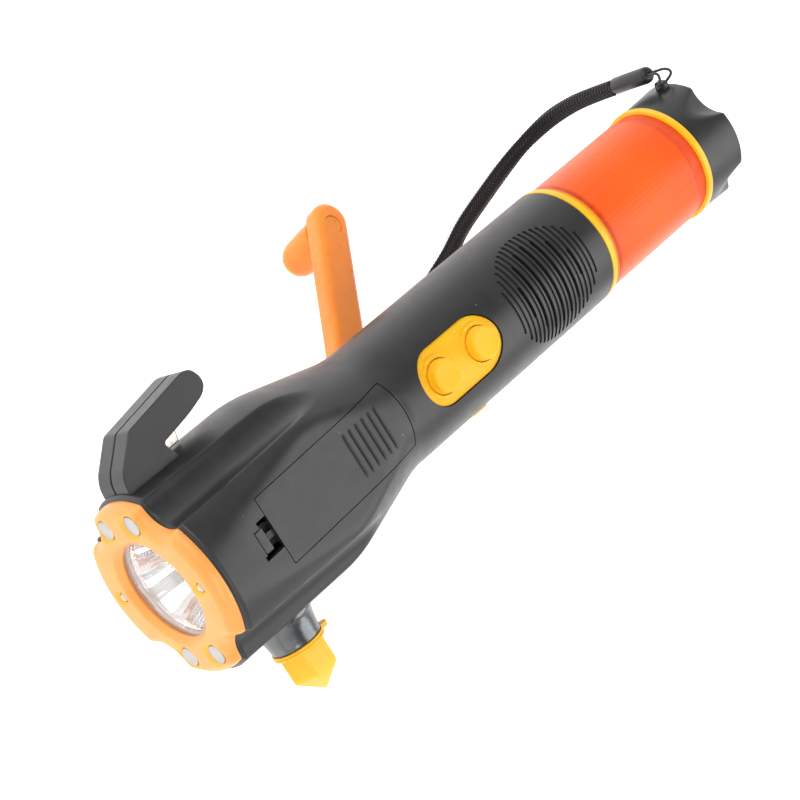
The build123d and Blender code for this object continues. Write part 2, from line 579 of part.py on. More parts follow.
string = tube(string_pts, string_d, 1.5, label="strap_string")
bead = rev_z([(0, bead_z0), (2.2, bead_z0), (2.75, bead_z0 + 0.7), (2.75, bead_z1 - 1.0), (2.1, bead_z1), (0, bead_z1)], bead_x, bead_y)
bead = bead - stadium_z(bead_x - 1.55, bead_x + 1.55, 0.72, -5.2, 6, bead_y)
band_d = 2.5
band_pts = [(239.2, bead_y, -13.4), (239.2, bead_y, -24.0), (238.6, 25.0, -35.0), (236.2, 23.2, -46.5), (230.6, 20.4, -55.2), (221.0, 17.6, -58.9),
            (208.0, 14.4, -59.4), (194.0, 11.0, -59.5), (184.0, 6.6, -59.6), (174.4, 3.4, -60.6), (165.6, 0.2, -62.0), (159.0, -6.2, -62.9),
            (157.4, -15.2, -62.9), (161.8, -23.2, -62.9), (170.4, -25.6, -62.9), (178.0, -20.8, -62.9), (181.6, -11.8, -62.9), (184.4, -2.2, -62.9), (188.2, 6.0, -62.95),
            (196.2, 9.6, -62.9), (209.4, 12.8, -62.9), (223.2, 16.4, -62.0), (233.8, 20.2, -57.4), (239.6, 23.8, -47.8), (242.3, 25.2, -36.2), (242.0, bead_y, -24.6), (242.0, bead_y, -13.4)]
band = tube(band_pts, band_d, 7.0, label="wrist_strap")
save(string, "strap_string")
save(bead, "strap_bead")
save(band, "wrist_strap")
print("foot", foot, "pin", pin, "knob axis at", tuple(foot[i] + A[i] * s_knob for i in range(3)), "K", K, "A", A)
print("axis of fold", (-sin(ph), cos(ph), 0.0), "lug hole", hy, hz, "idler_x", idler_x, "rotor_x", rotor_x)
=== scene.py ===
import math
import bmesh
import bpy
import numpy as np
from mathutils import Matrix, Vector


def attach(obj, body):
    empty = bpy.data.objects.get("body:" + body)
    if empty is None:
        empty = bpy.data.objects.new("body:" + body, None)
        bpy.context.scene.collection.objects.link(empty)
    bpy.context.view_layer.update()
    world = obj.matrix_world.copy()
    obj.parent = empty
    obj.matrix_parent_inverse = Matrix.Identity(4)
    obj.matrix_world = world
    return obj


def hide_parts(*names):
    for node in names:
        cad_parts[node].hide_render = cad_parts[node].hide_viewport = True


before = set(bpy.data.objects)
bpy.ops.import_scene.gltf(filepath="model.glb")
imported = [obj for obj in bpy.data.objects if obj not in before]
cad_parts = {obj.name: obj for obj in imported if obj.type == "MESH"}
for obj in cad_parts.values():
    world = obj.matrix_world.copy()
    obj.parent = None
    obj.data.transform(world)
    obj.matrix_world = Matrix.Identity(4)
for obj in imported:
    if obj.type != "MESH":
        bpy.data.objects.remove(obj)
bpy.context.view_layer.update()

MM = 0.001
scene = bpy.context.scene
rad, sin, cos, pi = math.radians, math.sin, math.cos, math.pi

# ------------------------------------------------------------------ camera
CAM = (-0.2828, 0.1644, 0.5760)
RIGHT = Vector((0.6389, -0.5148, 0.5717))
UP = Vector((0.5519, 0.8244, 0.1255))
BACK = Vector((-0.5359, 0.2353, 0.8108))
cam_data = bpy.data.cameras.new("camera")
cam_data.sensor_width = 36.0
cam_data.lens = 36.0 * 2471.0 / 800.0
cam_data.clip_start = 0.05
cam_data.clip_end = 20.0
cam = bpy.data.objects.new("camera", cam_data)
scene.collection.objects.link(cam)
m = Matrix((RIGHT.normalized(), UP.normalized(), BACK.normalized())).transposed().to_4x4()
m.translation = Vector(CAM)
cam.matrix_world = m
scene.camera = cam


# ------------------------------------------------------------------ helpers
def make(name, verts, faces, smooth=True):
    me = bpy.data.meshes.new(name)
    me.from_pydata([tuple(c * MM for c in v) for v in verts], [], faces)
    me.update()
    ob = bpy.data.objects.new(name, me)
    scene.collection.objects.link(ob)
    if smooth:
        me.polygons.foreach_set("use_smooth", [True] * len(me.polygons))
    return ob


def outward(ob):
    bm = bmesh.new()
    bm.from_mesh(ob.data)
    bmesh.ops.recalc_face_normals(bm, faces=bm.faces)
    bm.to_mesh(ob.data)
    bm.free()
    return ob


def sharp(ob, angle=32.0):
    me = ob.data
    me.polygons.foreach_set("use_smooth", [True] * len(me.polygons))
    me.set_sharp_from_angle(angle=rad(angle))
    return ob


def drop(ob):
    me = ob.data
    bpy.data.objects.remove(ob)
    if me.users == 0:
        bpy.data.meshes.remove(me)


def baked(ob):
    # applies the modifiers
    dg = bpy.context.evaluated_depsgraph_get()
    dg.update()
    me = bpy.data.meshes.new_from_object(ob.evaluated_get(dg), depsgraph=dg)
    ob.modifiers.clear()
    old = ob.data
    ob.data = me
    me.name = ob.name
    if old.users == 0:
        bpy.data.meshes.remove(old)
    return ob


def boolean(ob, cutters, op="DIFFERENCE", keep=False):
    # applies each cutter in turn as its own boolean, retrying with the exact solver when the manifold result fails, and
    # drops the cutters unless kept
    for c in cutters if isinstance(cutters, (list, tuple)) else [cutters]:
        mod = ob.modifiers.new("b", "BOOLEAN")
        mod.operation = op
        mod.object = c
        mod.solver = "MANIFOLD"
        before = len(ob.data.polygons)
        dg = bpy.context.evaluated_depsgraph_get()
        dg.update()
        me = bpy.data.meshes.new_from_object(ob.evaluated_get(dg), depsgraph=dg)
        if len(me.polygons) == 0 or (op == "DIFFERENCE" and len(me.polygons) == before and c.get("must")):
            bpy.data.meshes.remove(me)
            mod.solver = "EXACT"
            dg = bpy.context.evaluated_depsgraph_get()
            dg.update()
            me = bpy.data.meshes.new_from_object(ob.evaluated_get(dg), depsgraph=dg)
        ob.modifiers.clear()
        ob.data = me
        me.name = ob.name
        if not keep:
            drop(c)
    return ob


def bevel(ob, width, segments=2, angle=30.0, profile=0.5):
    mod = ob.modifiers.new("bevel", "BEVEL")
    mod.width = width * MM
    mod.segments = segments
    mod.limit_method = "ANGLE"
    mod.angle_limit = rad(angle)
    mod.profile = profile
    mod.harden_normals = False
    return baked(ob)


def prism(name, pts, a, b, axis="Z"):
    # closed prism over a polygon; pts are the two coordinates across the axis in X, Y, Z order
    n = len(pts)
    vs = []
    for h in (a, b):
        for p in pts:
            vs.append({"X": (h, p[0], p[1]), "Y": (p[0], h, p[1]), "Z": (p[0], p[1], h)}[axis])
    fs = [tuple(range(n))[::-1], tuple(range(n, 2 * n))]
    fs += [(i, (i + 1) % n, n + (i + 1) % n, n + i) for i in range(n)]
    return outward(make(name, vs, fs, False))


def box(name, x0, x1, y0, y1, z0, z1):
    return prism(name, [(x0, y0), (x1, y0), (x1, y1), (x0, y1)], z0, z1)


def disc_pts(r, n=64, cx=0.0, cy=0.0, a0=0.0):
    return [(cx + r * cos(a0 + 2 * pi * k / n), cy + r * sin(a0 + 2 * pi * k / n)) for k in range(n)]


def stadium_pts(x0, x1, r, n=24, y=0.0):
    pts = [(x1 - r + r * cos(a), y + r * sin(a)) for a in np.linspace(-pi / 2, pi / 2, n)]
    pts += [(x0 + r + r * cos(a), y + r * sin(a)) for a in np.linspace(pi / 2, 3 * pi / 2, n)]
    return pts


def frame_of(axis):
    # columns: two across, one along
    if axis == "X":
        return Vector((0, 1, 0)), Vector((0, 0, 1)), Vector((1, 0, 0))
    if axis == "Y":
        return Vector((1, 0, 0)), Vector((0, 0, 1)), Vector((0, 1, 0))
    return Vector((1, 0, 0)), Vector((0, 1, 0)), Vector((0, 0, 1))


def lathe(name, prof, axis="X", at=(0, 0, 0), segs=96, closed=False, twist=None):
    # prof: (along, radius) list; ends on the axis are capped by a pole point; closed=True joins last to first
    u, v, w = frame_of(axis) if isinstance(axis, str) else axis
    at = Vector(at)
    vs, rows = [], []
    for (t, r) in prof:
        if r < 1e-6:
            rows.append([len(vs)])
            vs.append(tuple(at + w * t))
        else:
            row = []
            for k in range(segs):
                a = 2 * pi * k / segs
                row.append(len(vs))
                vs.append(tuple(at + w * t + (u * cos(a) + v * sin(a)) * r))
            rows.append(row)
    fs = []
    pairs = list(zip(rows[:-1], rows[1:]))
    if closed:
        pairs.append((rows[-1], rows[0]))
    for p, q in pairs:
        if len(p) == 1 and len(q) == 1:
            continue
        for k in range(segs):
            k2 = (k + 1) % segs
            if len(p) == 1:
                fs.append((p[0], q[k2], q[k]))
            elif len(q) == 1:
                fs.append((p[k], p[k2], q[0]))
            else:
                fs.append((p[k], p[k2], q[k2], q[k]))
    return outward(make(name, vs, fs))


def rounded(prof, r=0.3, n=3, closed=False):
    # rounds the corners of a 2-D profile
    out = []
    N = len(prof)
    for i, p in enumerate(prof):
        if not closed and i in (0, N - 1):
            out.append(p)
            continue
        a, b, c = Vector(prof[i - 1]), Vector(p), Vector(prof[(i + 1) % N])
        la, lc = (a - b).length, (c - b).length
        if la < 1e-6 or lc < 1e-6:
            out.append(p)
            continue
        d = min(r, 0.45 * la, 0.45 * lc)
        p0, p1 = b + (a - b) * (d / la), b + (c - b) * (d / lc)
        for k in range(n + 1):
            t = k / n
            q = p0 * (1 - t) ** 2 + b * 2 * t * (1 - t) + p1 * t ** 2
            out.append((q.x, q.y))
    return out


def join(name, obs):
    vs, fs, mats, idx = [], [], [], []
    for o in obs:
        off = len(vs)
        vs += [tuple(o.matrix_world @ v.co) for v in o.data.vertices]
        for p in o.data.polygons:
            fs.append(tuple(off + i for i in p.vertices))
            mm = o.data.materials[p.material_index] if o.data.materials else None
            if mm not in mats:
                mats.append(mm)
            idx.append(mats.index(mm))
    me = bpy.data.meshes.new(name)
    me.from_pydata(vs, [], fs)
    for mm in mats:
        if mm is not None:
            me.materials.append(mm)
    if any(mats):
        me.polygons.foreach_set("material_index", idx)
    me.update()
    ob = bpy.data.objects.new(name, me)
    scene.collection.objects.link(ob)
    for o in obs:
        drop(o)
    sharp(ob)
    return ob


def smin(a, b, k):
    h = np.maximum(k - np.abs(a - b), 0.0) / k
    return np.minimum(a, b) - h * h * k * 0.25


def smax(a, b, k):
    return -smin(-a, -b, k)


# ------------------------------------------------------------------ materials
def new_mat(name):
    mat = bpy.data.materials.new(name)
    mat.use_nodes = True
    nt = mat.node_tree
    nt.nodes.clear()
    out = nt.nodes.new("ShaderNodeOutputMaterial")
    bs = nt.nodes.new("ShaderNodeBsdfPrincipled")
    nt.links.new(bs.outputs[0], out.inputs[0])
    return mat, nt, bs


def coords(nt, scale=(1, 1, 1), kind="Object"):
    tc = nt.nodes.new("ShaderNodeTexCoord")
    mp = nt.nodes.new("ShaderNodeMapping")
    mp.inputs["Scale"].default_value = scale
    nt.links.new(tc.outputs[kind], mp.inputs[0])
    return mp.outputs[0]


def noise_node(nt, vec, scale, detail=3.0, rough=0.55):
    n = nt.nodes.new("ShaderNodeTexNoise")
    n.inputs["Scale"].default_value = scale
    n.inputs["Detail"].default_value = detail
    n.inputs["Roughness"].default_value = rough
    nt.links.new(vec, n.inputs["Vector"])
    return n.outputs["Fac"]


def ramp(nt, fac, stops):
    r = nt.nodes.new("ShaderNodeValToRGB")
    while len(r.color_ramp.elements) < len(stops):
        r.color_ramp.elements.new(0.5)
    for e, (p, c) in zip(r.color_ramp.elements, stops):
        e.position = p
        e.color = (*c, 1.0) if len(c) == 3 else c
    nt.links.new(fac, r.inputs[0])
    return r.outputs["Color"]


def maprange(nt, fac, lo, hi, a=0.0, b=1.0):
    r = nt.nodes.new("ShaderNodeMapRange")
    r.inputs["From Min"].default_value = a
    r.inputs["From Max"].default_value = b
    r.inputs["To Min"].default_value = lo
    r.inputs["To Max"].default_value = hi
    nt.links.new(fac, r.inputs["Value"])
    return r.outputs[0]


def bump(nt, height, strength, dist, normal=None):
    b = nt.nodes.new("ShaderNodeBump")
    b.inputs["Strength"].default_value = strength
    b.inputs["Distance"].default_value = dist
    nt.links.new(height, b.inputs["Height"])
    if normal is not None:
        nt.links.new(normal, b.inputs["Normal"])
    return b.outputs[0]


def mix_rgb(nt, fac, a, b):
    mx = nt.nodes.new("ShaderNodeMix")
    mx.data_type = "RGBA"
    if isinstance(fac, float):
        mx.inputs[0].default_value = fac
    else:
        nt.links.new(fac, mx.inputs[0])
    for s, c in ((mx.inputs[6], a), (mx.inputs[7], b)):
        if isinstance(c, tuple):
            s.default_value = (*c, 1.0)
        else:
            nt.links.new(c, s)
    return mx.outputs[2]


def srgb(r, g, b):
    f = lambda c: c / 12.92 if c <= 0.04045 else ((c + 0.055) / 1.055) ** 2.4
    return (f(r / 255.0), f(g / 255.0), f(b / 255.0))


def moulded(name, col, col2=None, rough=0.42, spread=0.08, grain=0.00004, grain_scale=2600.0, specks=0.0, spec=0.5,
            subsurface=0.0, ss_radius=(0.004, 0.0015, 0.0005), coat=0.0, mottle=120.0):
    # injection-moulded plastic: fine spark-eroded grain, faint colour drift, uneven gloss, and a painted highlight that
    # lightens the convex edges
    mat, nt, bs = new_mat(name)
    v = coords(nt)
    big = noise_node(nt, v, mottle, 4.0)
    fine = noise_node(nt, v, grain_scale, 2.0, 0.6)
    col2 = col2 or tuple(c * 0.86 for c in col)
    base = ramp(nt, big, [(0.3, col2), (0.7, col)])
    if specks > 0:
        vo = nt.nodes.new("ShaderNodeTexVoronoi")
        vo.inputs["Scale"].default_value = 95.0
        nt.links.new(v, vo.inputs["Vector"])
        dots = maprange(nt, vo.outputs["Distance"], specks, 0.0, 0.0, 0.035)
        base = mix_rgb(nt, dots, base, (0.45, 0.45, 0.45))
    geo = nt.nodes.new("ShaderNodeNewGeometry")
    # painted highlight: convex edges, found by pointiness, get a lighter copy of the colour
    edge = maprange(nt, geo.outputs["Pointiness"], 0.0, 0.35, 0.53, 0.62)
    base = mix_rgb(nt, edge, base, tuple(min(1.0, c * 1.5 + 0.03) for c in col))
    nt.links.new(base, bs.inputs["Base Color"])
    rr = noise_node(nt, v, 240.0, 3.0)
    nt.links.new(maprange(nt, rr, rough - spread, rough + spread, 0.25, 0.75), bs.inputs["Roughness"])
    nt.links.new(bump(nt, fine, 0.5, grain), bs.inputs["Normal"])
    bs.inputs["Specular IOR Level"].default_value = spec
    if subsurface > 0:
        bs.inputs["Subsurface Weight"].default_value = subsurface
        bs.inputs["Subsurface Radius"].default_value = ss_radius
        bs.inputs["Subsurface Scale"].default_value = 1.0
    if coat > 0:
        bs.inputs["Coat Weight"].default_value = coat
        bs.inputs["Coat Roughness"].default_value = 0.12
    return mat


def metal(name, col, rough=0.3, scratch=(60.0, 2500.0, 2500.0), amount=0.12, dist=0.00002):
    mat, nt, bs = new_mat(name)
    v = coords(nt, scratch)
    s = noise_node(nt, v, 1.0, 4.0, 0.65)
    v2 = coords(nt)
    big = noise_node(nt, v2, 180.0, 3.0)
    nt.links.new(ramp(nt, big, [(0.3, tuple(c * 0.82 for c in col)), (0.7, col)]), bs.inputs["Base Color"])
    bs.inputs["Metallic"].default_value = 1.0
    nt.links.new(maprange(nt, s, rough - amount, rough + amount, 0.25, 0.75), bs.inputs["Roughness"])
    nt.links.new(bump(nt, s, 0.35, dist), bs.inputs["Normal"])
    return mat


M = {}
M["shell"] = moulded("shell_black", srgb(40, 40, 40), srgb(33, 33, 34), rough=0.37, spread=0.05, grain=0.00003, grain_scale=3200.0, specks=0.5, spec=0.5)
M["cap_black"] = moulded("cap_black", srgb(40, 40, 42), srgb(34, 34, 36), rough=0.34, spread=0.05, grain=0.00003, grain_scale=3000.0, specks=0.4, spec=0.5)
M["bead"] = moulded("bead_black", srgb(34, 34, 37), srgb(28, 28, 31), rough=0.34, grain=0.00003, spec=0.5)
M["bezel"] = moulded("bezel_orange", srgb(255, 168, 84), srgb(253, 158, 72), rough=0.36, spread=0.05, grain=0.00002, spec=0.5, subsurface=0.25)
M["yellow"] = moulded("trim_yellow", srgb(255, 192, 22), srgb(253, 184, 14), rough=0.33, spread=0.05, grain=0.00002, spec=0.5, subsurface=0.2)
M["rubber"] = moulded("pad_rubber", srgb(255, 190, 28), srgb(254, 180, 18), rough=0.48, spread=0.05, grain=0.00003, spec=0.35, subsurface=0.3)
M["crank"] = moulded("crank_orange", srgb(255, 150, 44), srgb(253, 138, 36), rough=0.3, spread=0.05, grain=0.00002, spec=0.5, subsurface=0.25)
M["steel"] = metal("steel", (0.62, 0.62, 0.63), 0.28)
M["magnet"] = metal("magnet_nickel", (0.50, 0.49, 0.48), 0.42, (900.0, 900.0, 900.0), 0.08)
M["dark_steel"] = metal("collar_steel", (0.15, 0.155, 0.16), 0.22, (2500.0, 60.0, 2500.0), 0.08)
M["blade"] = metal("blade_steel", (0.86, 0.83, 0.74), 0.33, (1200.0, 200.0, 1200.0), 0.1)
M["brass"] = metal("contact_brass", (0.75, 0.56, 0.25), 0.3)
M["inner"] = moulded("inner_black", srgb(52, 52, 54), rough=0.55, grain=0.00005)
M["white"] = moulded("white_plastic", srgb(225, 225, 220), srgb(214, 214, 208), rough=0.45)
M["copper"] = metal("copper", (0.80, 0.42, 0.24), 0.35, (60.0, 60.0, 6000.0), 0.1)


# ------------------------------------------------------------------ the body's outer field
HEAD_R, GRIP_R, FRONT, GRIP_END = 28.6, 20.0, 4.2, 176.8
FL_A = (51.0, 129.0, 231.0, 309.0)


def body_r(x, th, inset=0.0):
    # radius at station x and angle th, from +Z towards +Y
    x = np.asarray(x, float)
    th = np.asarray(th, float)
    line = HEAD_R - (HEAD_R - GRIP_R) * (x - 52.0) / 32.5
    R = smax(smin(np.full_like(x, HEAD_R), line, 1.6), np.full_like(x, GRIP_R), 1.3)
    R = R - inset
    plane = np.where(x < 84.5, 29.04 - 0.107 * x, 20.0 + 0.4 * (x - 84.5)) - inset
    c = np.abs(np.cos(th))
    pl = plane / np.maximum(c, 0.02)
    k = np.where(x < 84, 0.9, 0.35)
    r = smin(R, pl, 1.3)
    fc = 31.9 + 2.1 * (x - 4.0) / 56.0
    fr = 8.0 + inset
    for a in FL_A:
        d = np.abs((th - rad(a) + pi) % (2 * pi) - pi)
        s2 = (fc * np.sin(d)) ** 2
        inside = (d < pi / 2) & (s2 < fr * fr)
        f = fc * np.cos(d) - np.sqrt(np.maximum(fr * fr - s2, 0.0))
        # outside the cutter's tangent cone the flute doesn't reach: fade to large
        f = np.where(inside, f, 1e3)
        r = np.where(f < 100, smin(r, np.minimum(f, 60.0), 1.2), r)
    return r


def stations():
    xs = [FRONT, FRONT + 0.25, FRONT + 0.6, FRONT + 1.0, FRONT + 1.6]
    xs += list(np.arange(6.6, 46.0, 1.3)) + list(np.arange(46.0, 92.0, 0.7)) + list(np.arange(92.0, 176.0, 1.4)) + [176.2, 176.55, GRIP_END]
    return np.array(xs)


def body_solid(name, inset=0.0, nth=360, x0=None, x1=None):
    xs = stations() if x0 is None else np.concatenate([[x0], stations()[(stations() > x0 + 0.4) & (stations() < x1 - 0.4)], [x1]])
    vs, fs = [], []
    ths = np.linspace(0, 2 * pi, nth, endpoint=False)
    for x in xs:
        r = body_r(np.full(nth, x), ths, inset)
        if inset == 0.0:
            e = max(0.0, 1.0 - (x - FRONT) / 1.0)
            r = r - 1.15 * e * e
            e2 = max(0.0, 1.0 - (GRIP_END - x) / 0.5)
            r = r - 0.3 * e2 * e2
        for t, rr in zip(ths, r):
            vs.append((x, rr * sin(t), rr * cos(t)))
    n = len(xs)
    for i in range(n - 1):
        a, b = i * nth, (i + 1) * nth
        for k in range(nth):
            k2 = (k + 1) % nth
            fs.append((a + k, a + k2, b + k2, b + k))
    c0 = len(vs)
    vs.append((xs[0], 0, 0))
    vs.append((xs[-1], 0, 0))
    for k in range(nth):
        k2 = (k + 1) % nth
        fs.append((c0, k2, k))
        fs.append((c0 + 1, (n - 1) * nth + k, (n - 1) * nth + k2))
    return outward(make(name, vs, fs))


def skin_normals(ob, inset=0.0, angle=22.0):
    # points on the outer field take its own normal, so cuts leave no dents in the shading
    me = ob.data
    me.polygons.foreach_set("use_smooth", [True] * len(me.polygons))
    me.set_sharp_from_angle(angle=rad(32))
    nv = len(me.vertices)
    co = np.zeros(nv * 3)
    me.vertices.foreach_get("co", co)
    co = co.reshape(-1, 3) / MM
    x, y, z = co[:, 0], co[:, 1], co[:, 2]
    th = np.arctan2(y, z)
    r = np.hypot(y, z)
    want = body_r(x, th, inset)
    on = (np.abs(r - want) < 0.05) & (x > FRONT + 1.2) & (x < GRIP_END - 0.8)
    e = 0.12
    drdx = (body_r(x + e, th, inset) - body_r(x - e, th, inset)) / (2 * e)
    et = 0.004
    drdt = (body_r(x, th + et, inset) - body_r(x, th - et, inset)) / (2 * et)
    er = np.stack([np.zeros_like(x), np.sin(th), np.cos(th)], 1)
    et_ = np.stack([np.zeros_like(x), np.cos(th), -np.sin(th)], 1)
    nrm = er - (drdt / np.maximum(r, 1e-3))[:, None] * et_ - drdx[:, None] * np.array([1.0, 0, 0])
    nrm /= np.linalg.norm(nrm, axis=1)[:, None]
    nl = len(me.loops)
    base = np.zeros(nl * 3)
    me.corner_normals.foreach_get("vector", base)
    base = base.reshape(-1, 3)
    lv = np.zeros(nl, int)
    me.loops.foreach_get("vertex_index", lv)
    pn = np.zeros(len(me.polygons) * 3)
    me.polygons.foreach_get("normal", pn)
    pn = pn.reshape(-1, 3)
    tot = np.zeros(len(me.polygons), int)
    me.polygons.foreach_get("loop_total", tot)
    lp = np.repeat(np.arange(len(me.polygons)), tot)
    good = on[lv] & ((pn[lp] * nrm[lv]).sum(1) > cos(rad(angle)))
    base[good] = nrm[lv][good]
    me.normals_split_custom_set([tuple(v) for v in base])
    return ob


def surf_z(x, y, inset=0.0):
    r = 24.0
    for _ in range(40):
        th = math.asin(max(-0.99, min(0.99, y / r)))
        r = float(body_r(np.array([x]), np.array([th]), inset)[0])
    return math.sqrt(max(r * r - y * y, 0.0))


def wrap_slot(name, xc, hw, s0, s1, r0, r1, n=22):
    # closed slot round the grip with rounded ends; s is the arc length from +Z at the grip's radius
    vs, fs = [], []
    for j in range(n + 1):
        s = s0 + (s1 - s0) * (0.5 - 0.5 * cos(pi * j / n))
        d = min(s - s0, s1 - s)
        w = hw if d >= hw else max(0.14 * hw, math.sqrt(max(hw * hw - (hw - d) ** 2, 0.0)))
        a = s / GRIP_R
        for (x, r) in ((xc - w, r0), (xc + w, r0), (xc + w, r1), (xc - w, r1)):
            vs.append((x, r * sin(a), r * cos(a)))
    for j in range(n):
        for k in range(4):
            k2 = (k + 1) % 4
            fs.append((4 * j + k, 4 * j + k2, 4 * j + 4 + k2, 4 * j + 4 + k))
    fs.append((3, 2, 1, 0))
    fs.append((4 * n, 4 * n + 1, 4 * n + 2, 4 * n + 3))
    return outward(make(name, vs, fs, False))


def layered(name, outline, layers, axis="Z"):
    # closed solid through copies of one outline, each moved inwards by an offset; layers: (height, offset)
    n = len(outline)
    P = [Vector(p) for p in outline]
    area = sum(P[i].x * P[(i + 1) % n].y - P[(i + 1) % n].x * P[i].y for i in range(n))
    sgn = 1.0 if area > 0 else -1.0
    nrm = []
    for i in range(n):
        a, b, c = P[i - 1], P[i], P[(i + 1) % n]
        t1, t2 = (b - a).normalized(), (c - b).normalized()
        n1, n2 = Vector((-t1.y, t1.x)) * sgn, Vector((-t2.y, t2.x)) * sgn
        q = (n1 + n2)
        q = q / max(q.length_squared / 2.0, 0.35)
        nrm.append(q)
    vs, fs = [], []
    for (h, off) in layers:
        for i in range(n):
            p = P[i] + nrm[i] * off
            vs.append({"X": (h, p.x, p.y), "Y": (p.x, h, p.y), "Z": (p.x, p.y, h)}[axis])
    m = len(layers)
    for l in range(m - 1):
        for i in range(n):
            i2 = (i + 1) % n
            fs.append((l * n + i, l * n + i2, (l + 1) * n + i2, (l + 1) * n + i))
    fs.append(tuple(range(n))[::-1])
    fs.append(tuple((m - 1) * n + i for i in range(n)))
    return outward(make(name, vs, fs, False))


def rolled(h0, h1, r, side=0.0, n=3):
    # layers with rounded rims at both ends
    lay = []
    for k in range(n + 1):
        a = pi / 2 * k / n
        lay.append((h0 + r * (1 - sin(a)), r * (1 - cos(a)) + side))
    lay = lay[::-1]
    out = [(h, o) for h, o in lay]
    for k in range(n + 1):
        a = pi / 2 * k / n
        out.append((h1 - r * (1 - sin(a)), r * (1 - cos(a)) + side))
    low = [(h0 + r * (1 - cos(pi / 2 * k / n)), r * (1 - sin(pi / 2 * k / n)) + side) for k in range(n + 1)]
    high = [(h1 - r * (1 - sin(pi / 2 * k / n)), r * (1 - cos(pi / 2 * k / n)) + side) for k in range(n + 1)]
    return low + high


def clip(ob, other, keep=True):
    return boolean(ob, other, "INTERSECT", keep=keep)


def both(name, obs):
    # one operand of several separate closed solids
    vs, fs = [], []
    for o in obs:
        off = len(vs)
        vs += [tuple(v.co) for v in o.data.vertices]
        fs += [tuple(off + i for i in p.vertices) for p in o.data.polygons]
        drop(o)
    me = bpy.data.meshes.new(name)
    me.from_pydata(vs, [], fs)
    me.update()
    ob = bpy.data.objects.new(name, me)
    scene.collection.objects.link(ob)
    return ob


def finish(ob, mat, body, nodes=(), angle=32.0, smooth=True):
    if smooth:
        sharp(ob, angle)
    ob.data.materials.clear()
    ob.data.materials.append(mat)
    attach(ob, body)
    if nodes:
        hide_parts(*([nodes] if isinstance(nodes, str) else nodes))
    return ob


# ------------------------------------------------------------------ casing
solid = body_solid("solid", 0.0)
hull05 = body_solid("hull05", 0.5, 240)
cas = body_solid("casing", 0.0)

# belt cutter fin
FIN_H = 7.1
fin_core = [(7.4, 25.4), (6.0, 26.5), (5.5, 28.0), (6.0, 31.4), (7.65, 34.1), (15.4, 41.45), (38.6, 45.1),
            (41.3, 44.2), (42.8, 41.0), (42.5, 38.5), (40.4, 36.6), (34.0, 34.8), (26.9, 33.6), (23.1, 33.0),
            (22.5, 32.3), (24.0, 28.5), (24.3, 25.4)]


def corner_round(pts, rs, n=6):
    out = []
    N = len(pts)
    for i in range(N):
        r = rs[i]
        a, b, c = Vector(pts[i - 1]), Vector(pts[i]), Vector(pts[(i + 1) % N])
        if r <= 0:
            out.append(tuple(b))
            continue
        la, lc = (a - b).length, (c - b).length
        d = min(r, 0.48 * la, 0.48 * lc)
        p0, p1 = b + (a - b) * (d / la), b + (c - b) * (d / lc)
        for k in range(n + 1):
            t = k / n
            q = p0 * (1 - t) ** 2 + b * 2 * t * (1 - t) + p1 * t ** 2
            out.append((q.x, q.y))
    return out


fin_out = corner_round(fin_core, [0, 1, 2, 2, 0.7, 0.7, 3, 3, 3, 3, 3, 3, 3, 0.8, 0.8, 2, 0])
lay = [(-FIN_H, 0.3), (-FIN_H + 0.3, 0.0), (-0.5, 0.0), (-0.42, 0.12), (-0.22, 0.95),
       (0.22, 0.95), (0.42, 0.12), (0.5, 0.0), (FIN_H - 0.3, 0.0), (FIN_H, 0.3)]
fin = layered("fin", fin_out, lay)
cas = boolean(cas, fin, "UNION")

# hollow
cas = boolean(cas, body_solid("hollow", 2.4, 240, FRONT - 1.0, GRIP_END + 1.0))

# inner bosses, posts, seats
stad = stadium_pts(110.0 - 18.0, 110.0 + 18.0, 10.5)
adds = [prism("pad_floor", stad, 13.6, 17.8), lathe("seat", [(-15.2, 0), (-15.2, 17.2), (-13.0, 17.2), (-13.0, 0)], "Z", (95.3, 0, 0), 96),
        lathe("pocket", [(-19.0, 0), (-19.0, 8.6), (-1.4, 8.6), (-1.4, 0)], "Z", (142.98, 0, 0), 64),
        box("nutpad", 17.2, 36.4, -27.6, -25.35, -9.6, 9.6)]
for (px_, py_, zt) in ((46, 18, 14.0), (46, -18, 14.0), (118, 11.8, 8.2), (118, -11.8, 8.2)):
    adds.append(lathe("post", [(-26.0, 0), (-26.0, 3.0), (zt, 3.0), (zt, 0)], "Z", (px_, py_, 0), 32))
for a_ in adds:
    a_ = clip(a_, hull05)
    cas = boolean(cas, a_, "UNION")

# battery door recess and hole
door_hole = [(25.15, -10.55), (82.8, -10.55), (83.95, -5.6), (84.55, 0), (83.95, 5.6), (82.8, 10.55), (25.15, 10.55)]
door_hole = corner_round(door_hole, [0.6, 0.6, 6, 8, 6, 0.6, 0.6])
rec = prism("door_rec", door_hole, 8.0, 40.0)
rec = boolean(rec, body_solid("floor152", 1.52, 300))
cas = boolean(cas, rec)
cas = boolean(cas, both("holes1", [prism("door_in", corner_round([(26.6, -8.9), (82.2, -8.9), (82.2, 8.9), (26.6, 8.9)], [1.5] * 4), 8.0, 40.0)]))
latch = prism("latch_room", [(26.7, 5.2), (21.35, 5.2), (21.35, 3.5), (19.0, 3.5), (19.0, -3.55), (18.15, -3.55), (18.15, -4.9), (26.7, -4.9)], 18.0, 40.0)
cas = boolean(cas, latch)

# switch pad recess
cas = boolean(cas, prism("pad_room", stadium_pts(110 - 16.7, 110 + 16.7, 9.2, 32), 14.6, 30.0))
cas = boolean(cas, prism("pad_hole", stadium_pts(110 - 15.0, 110 + 15.0, 7.5, 32), 12.0, 20.0))

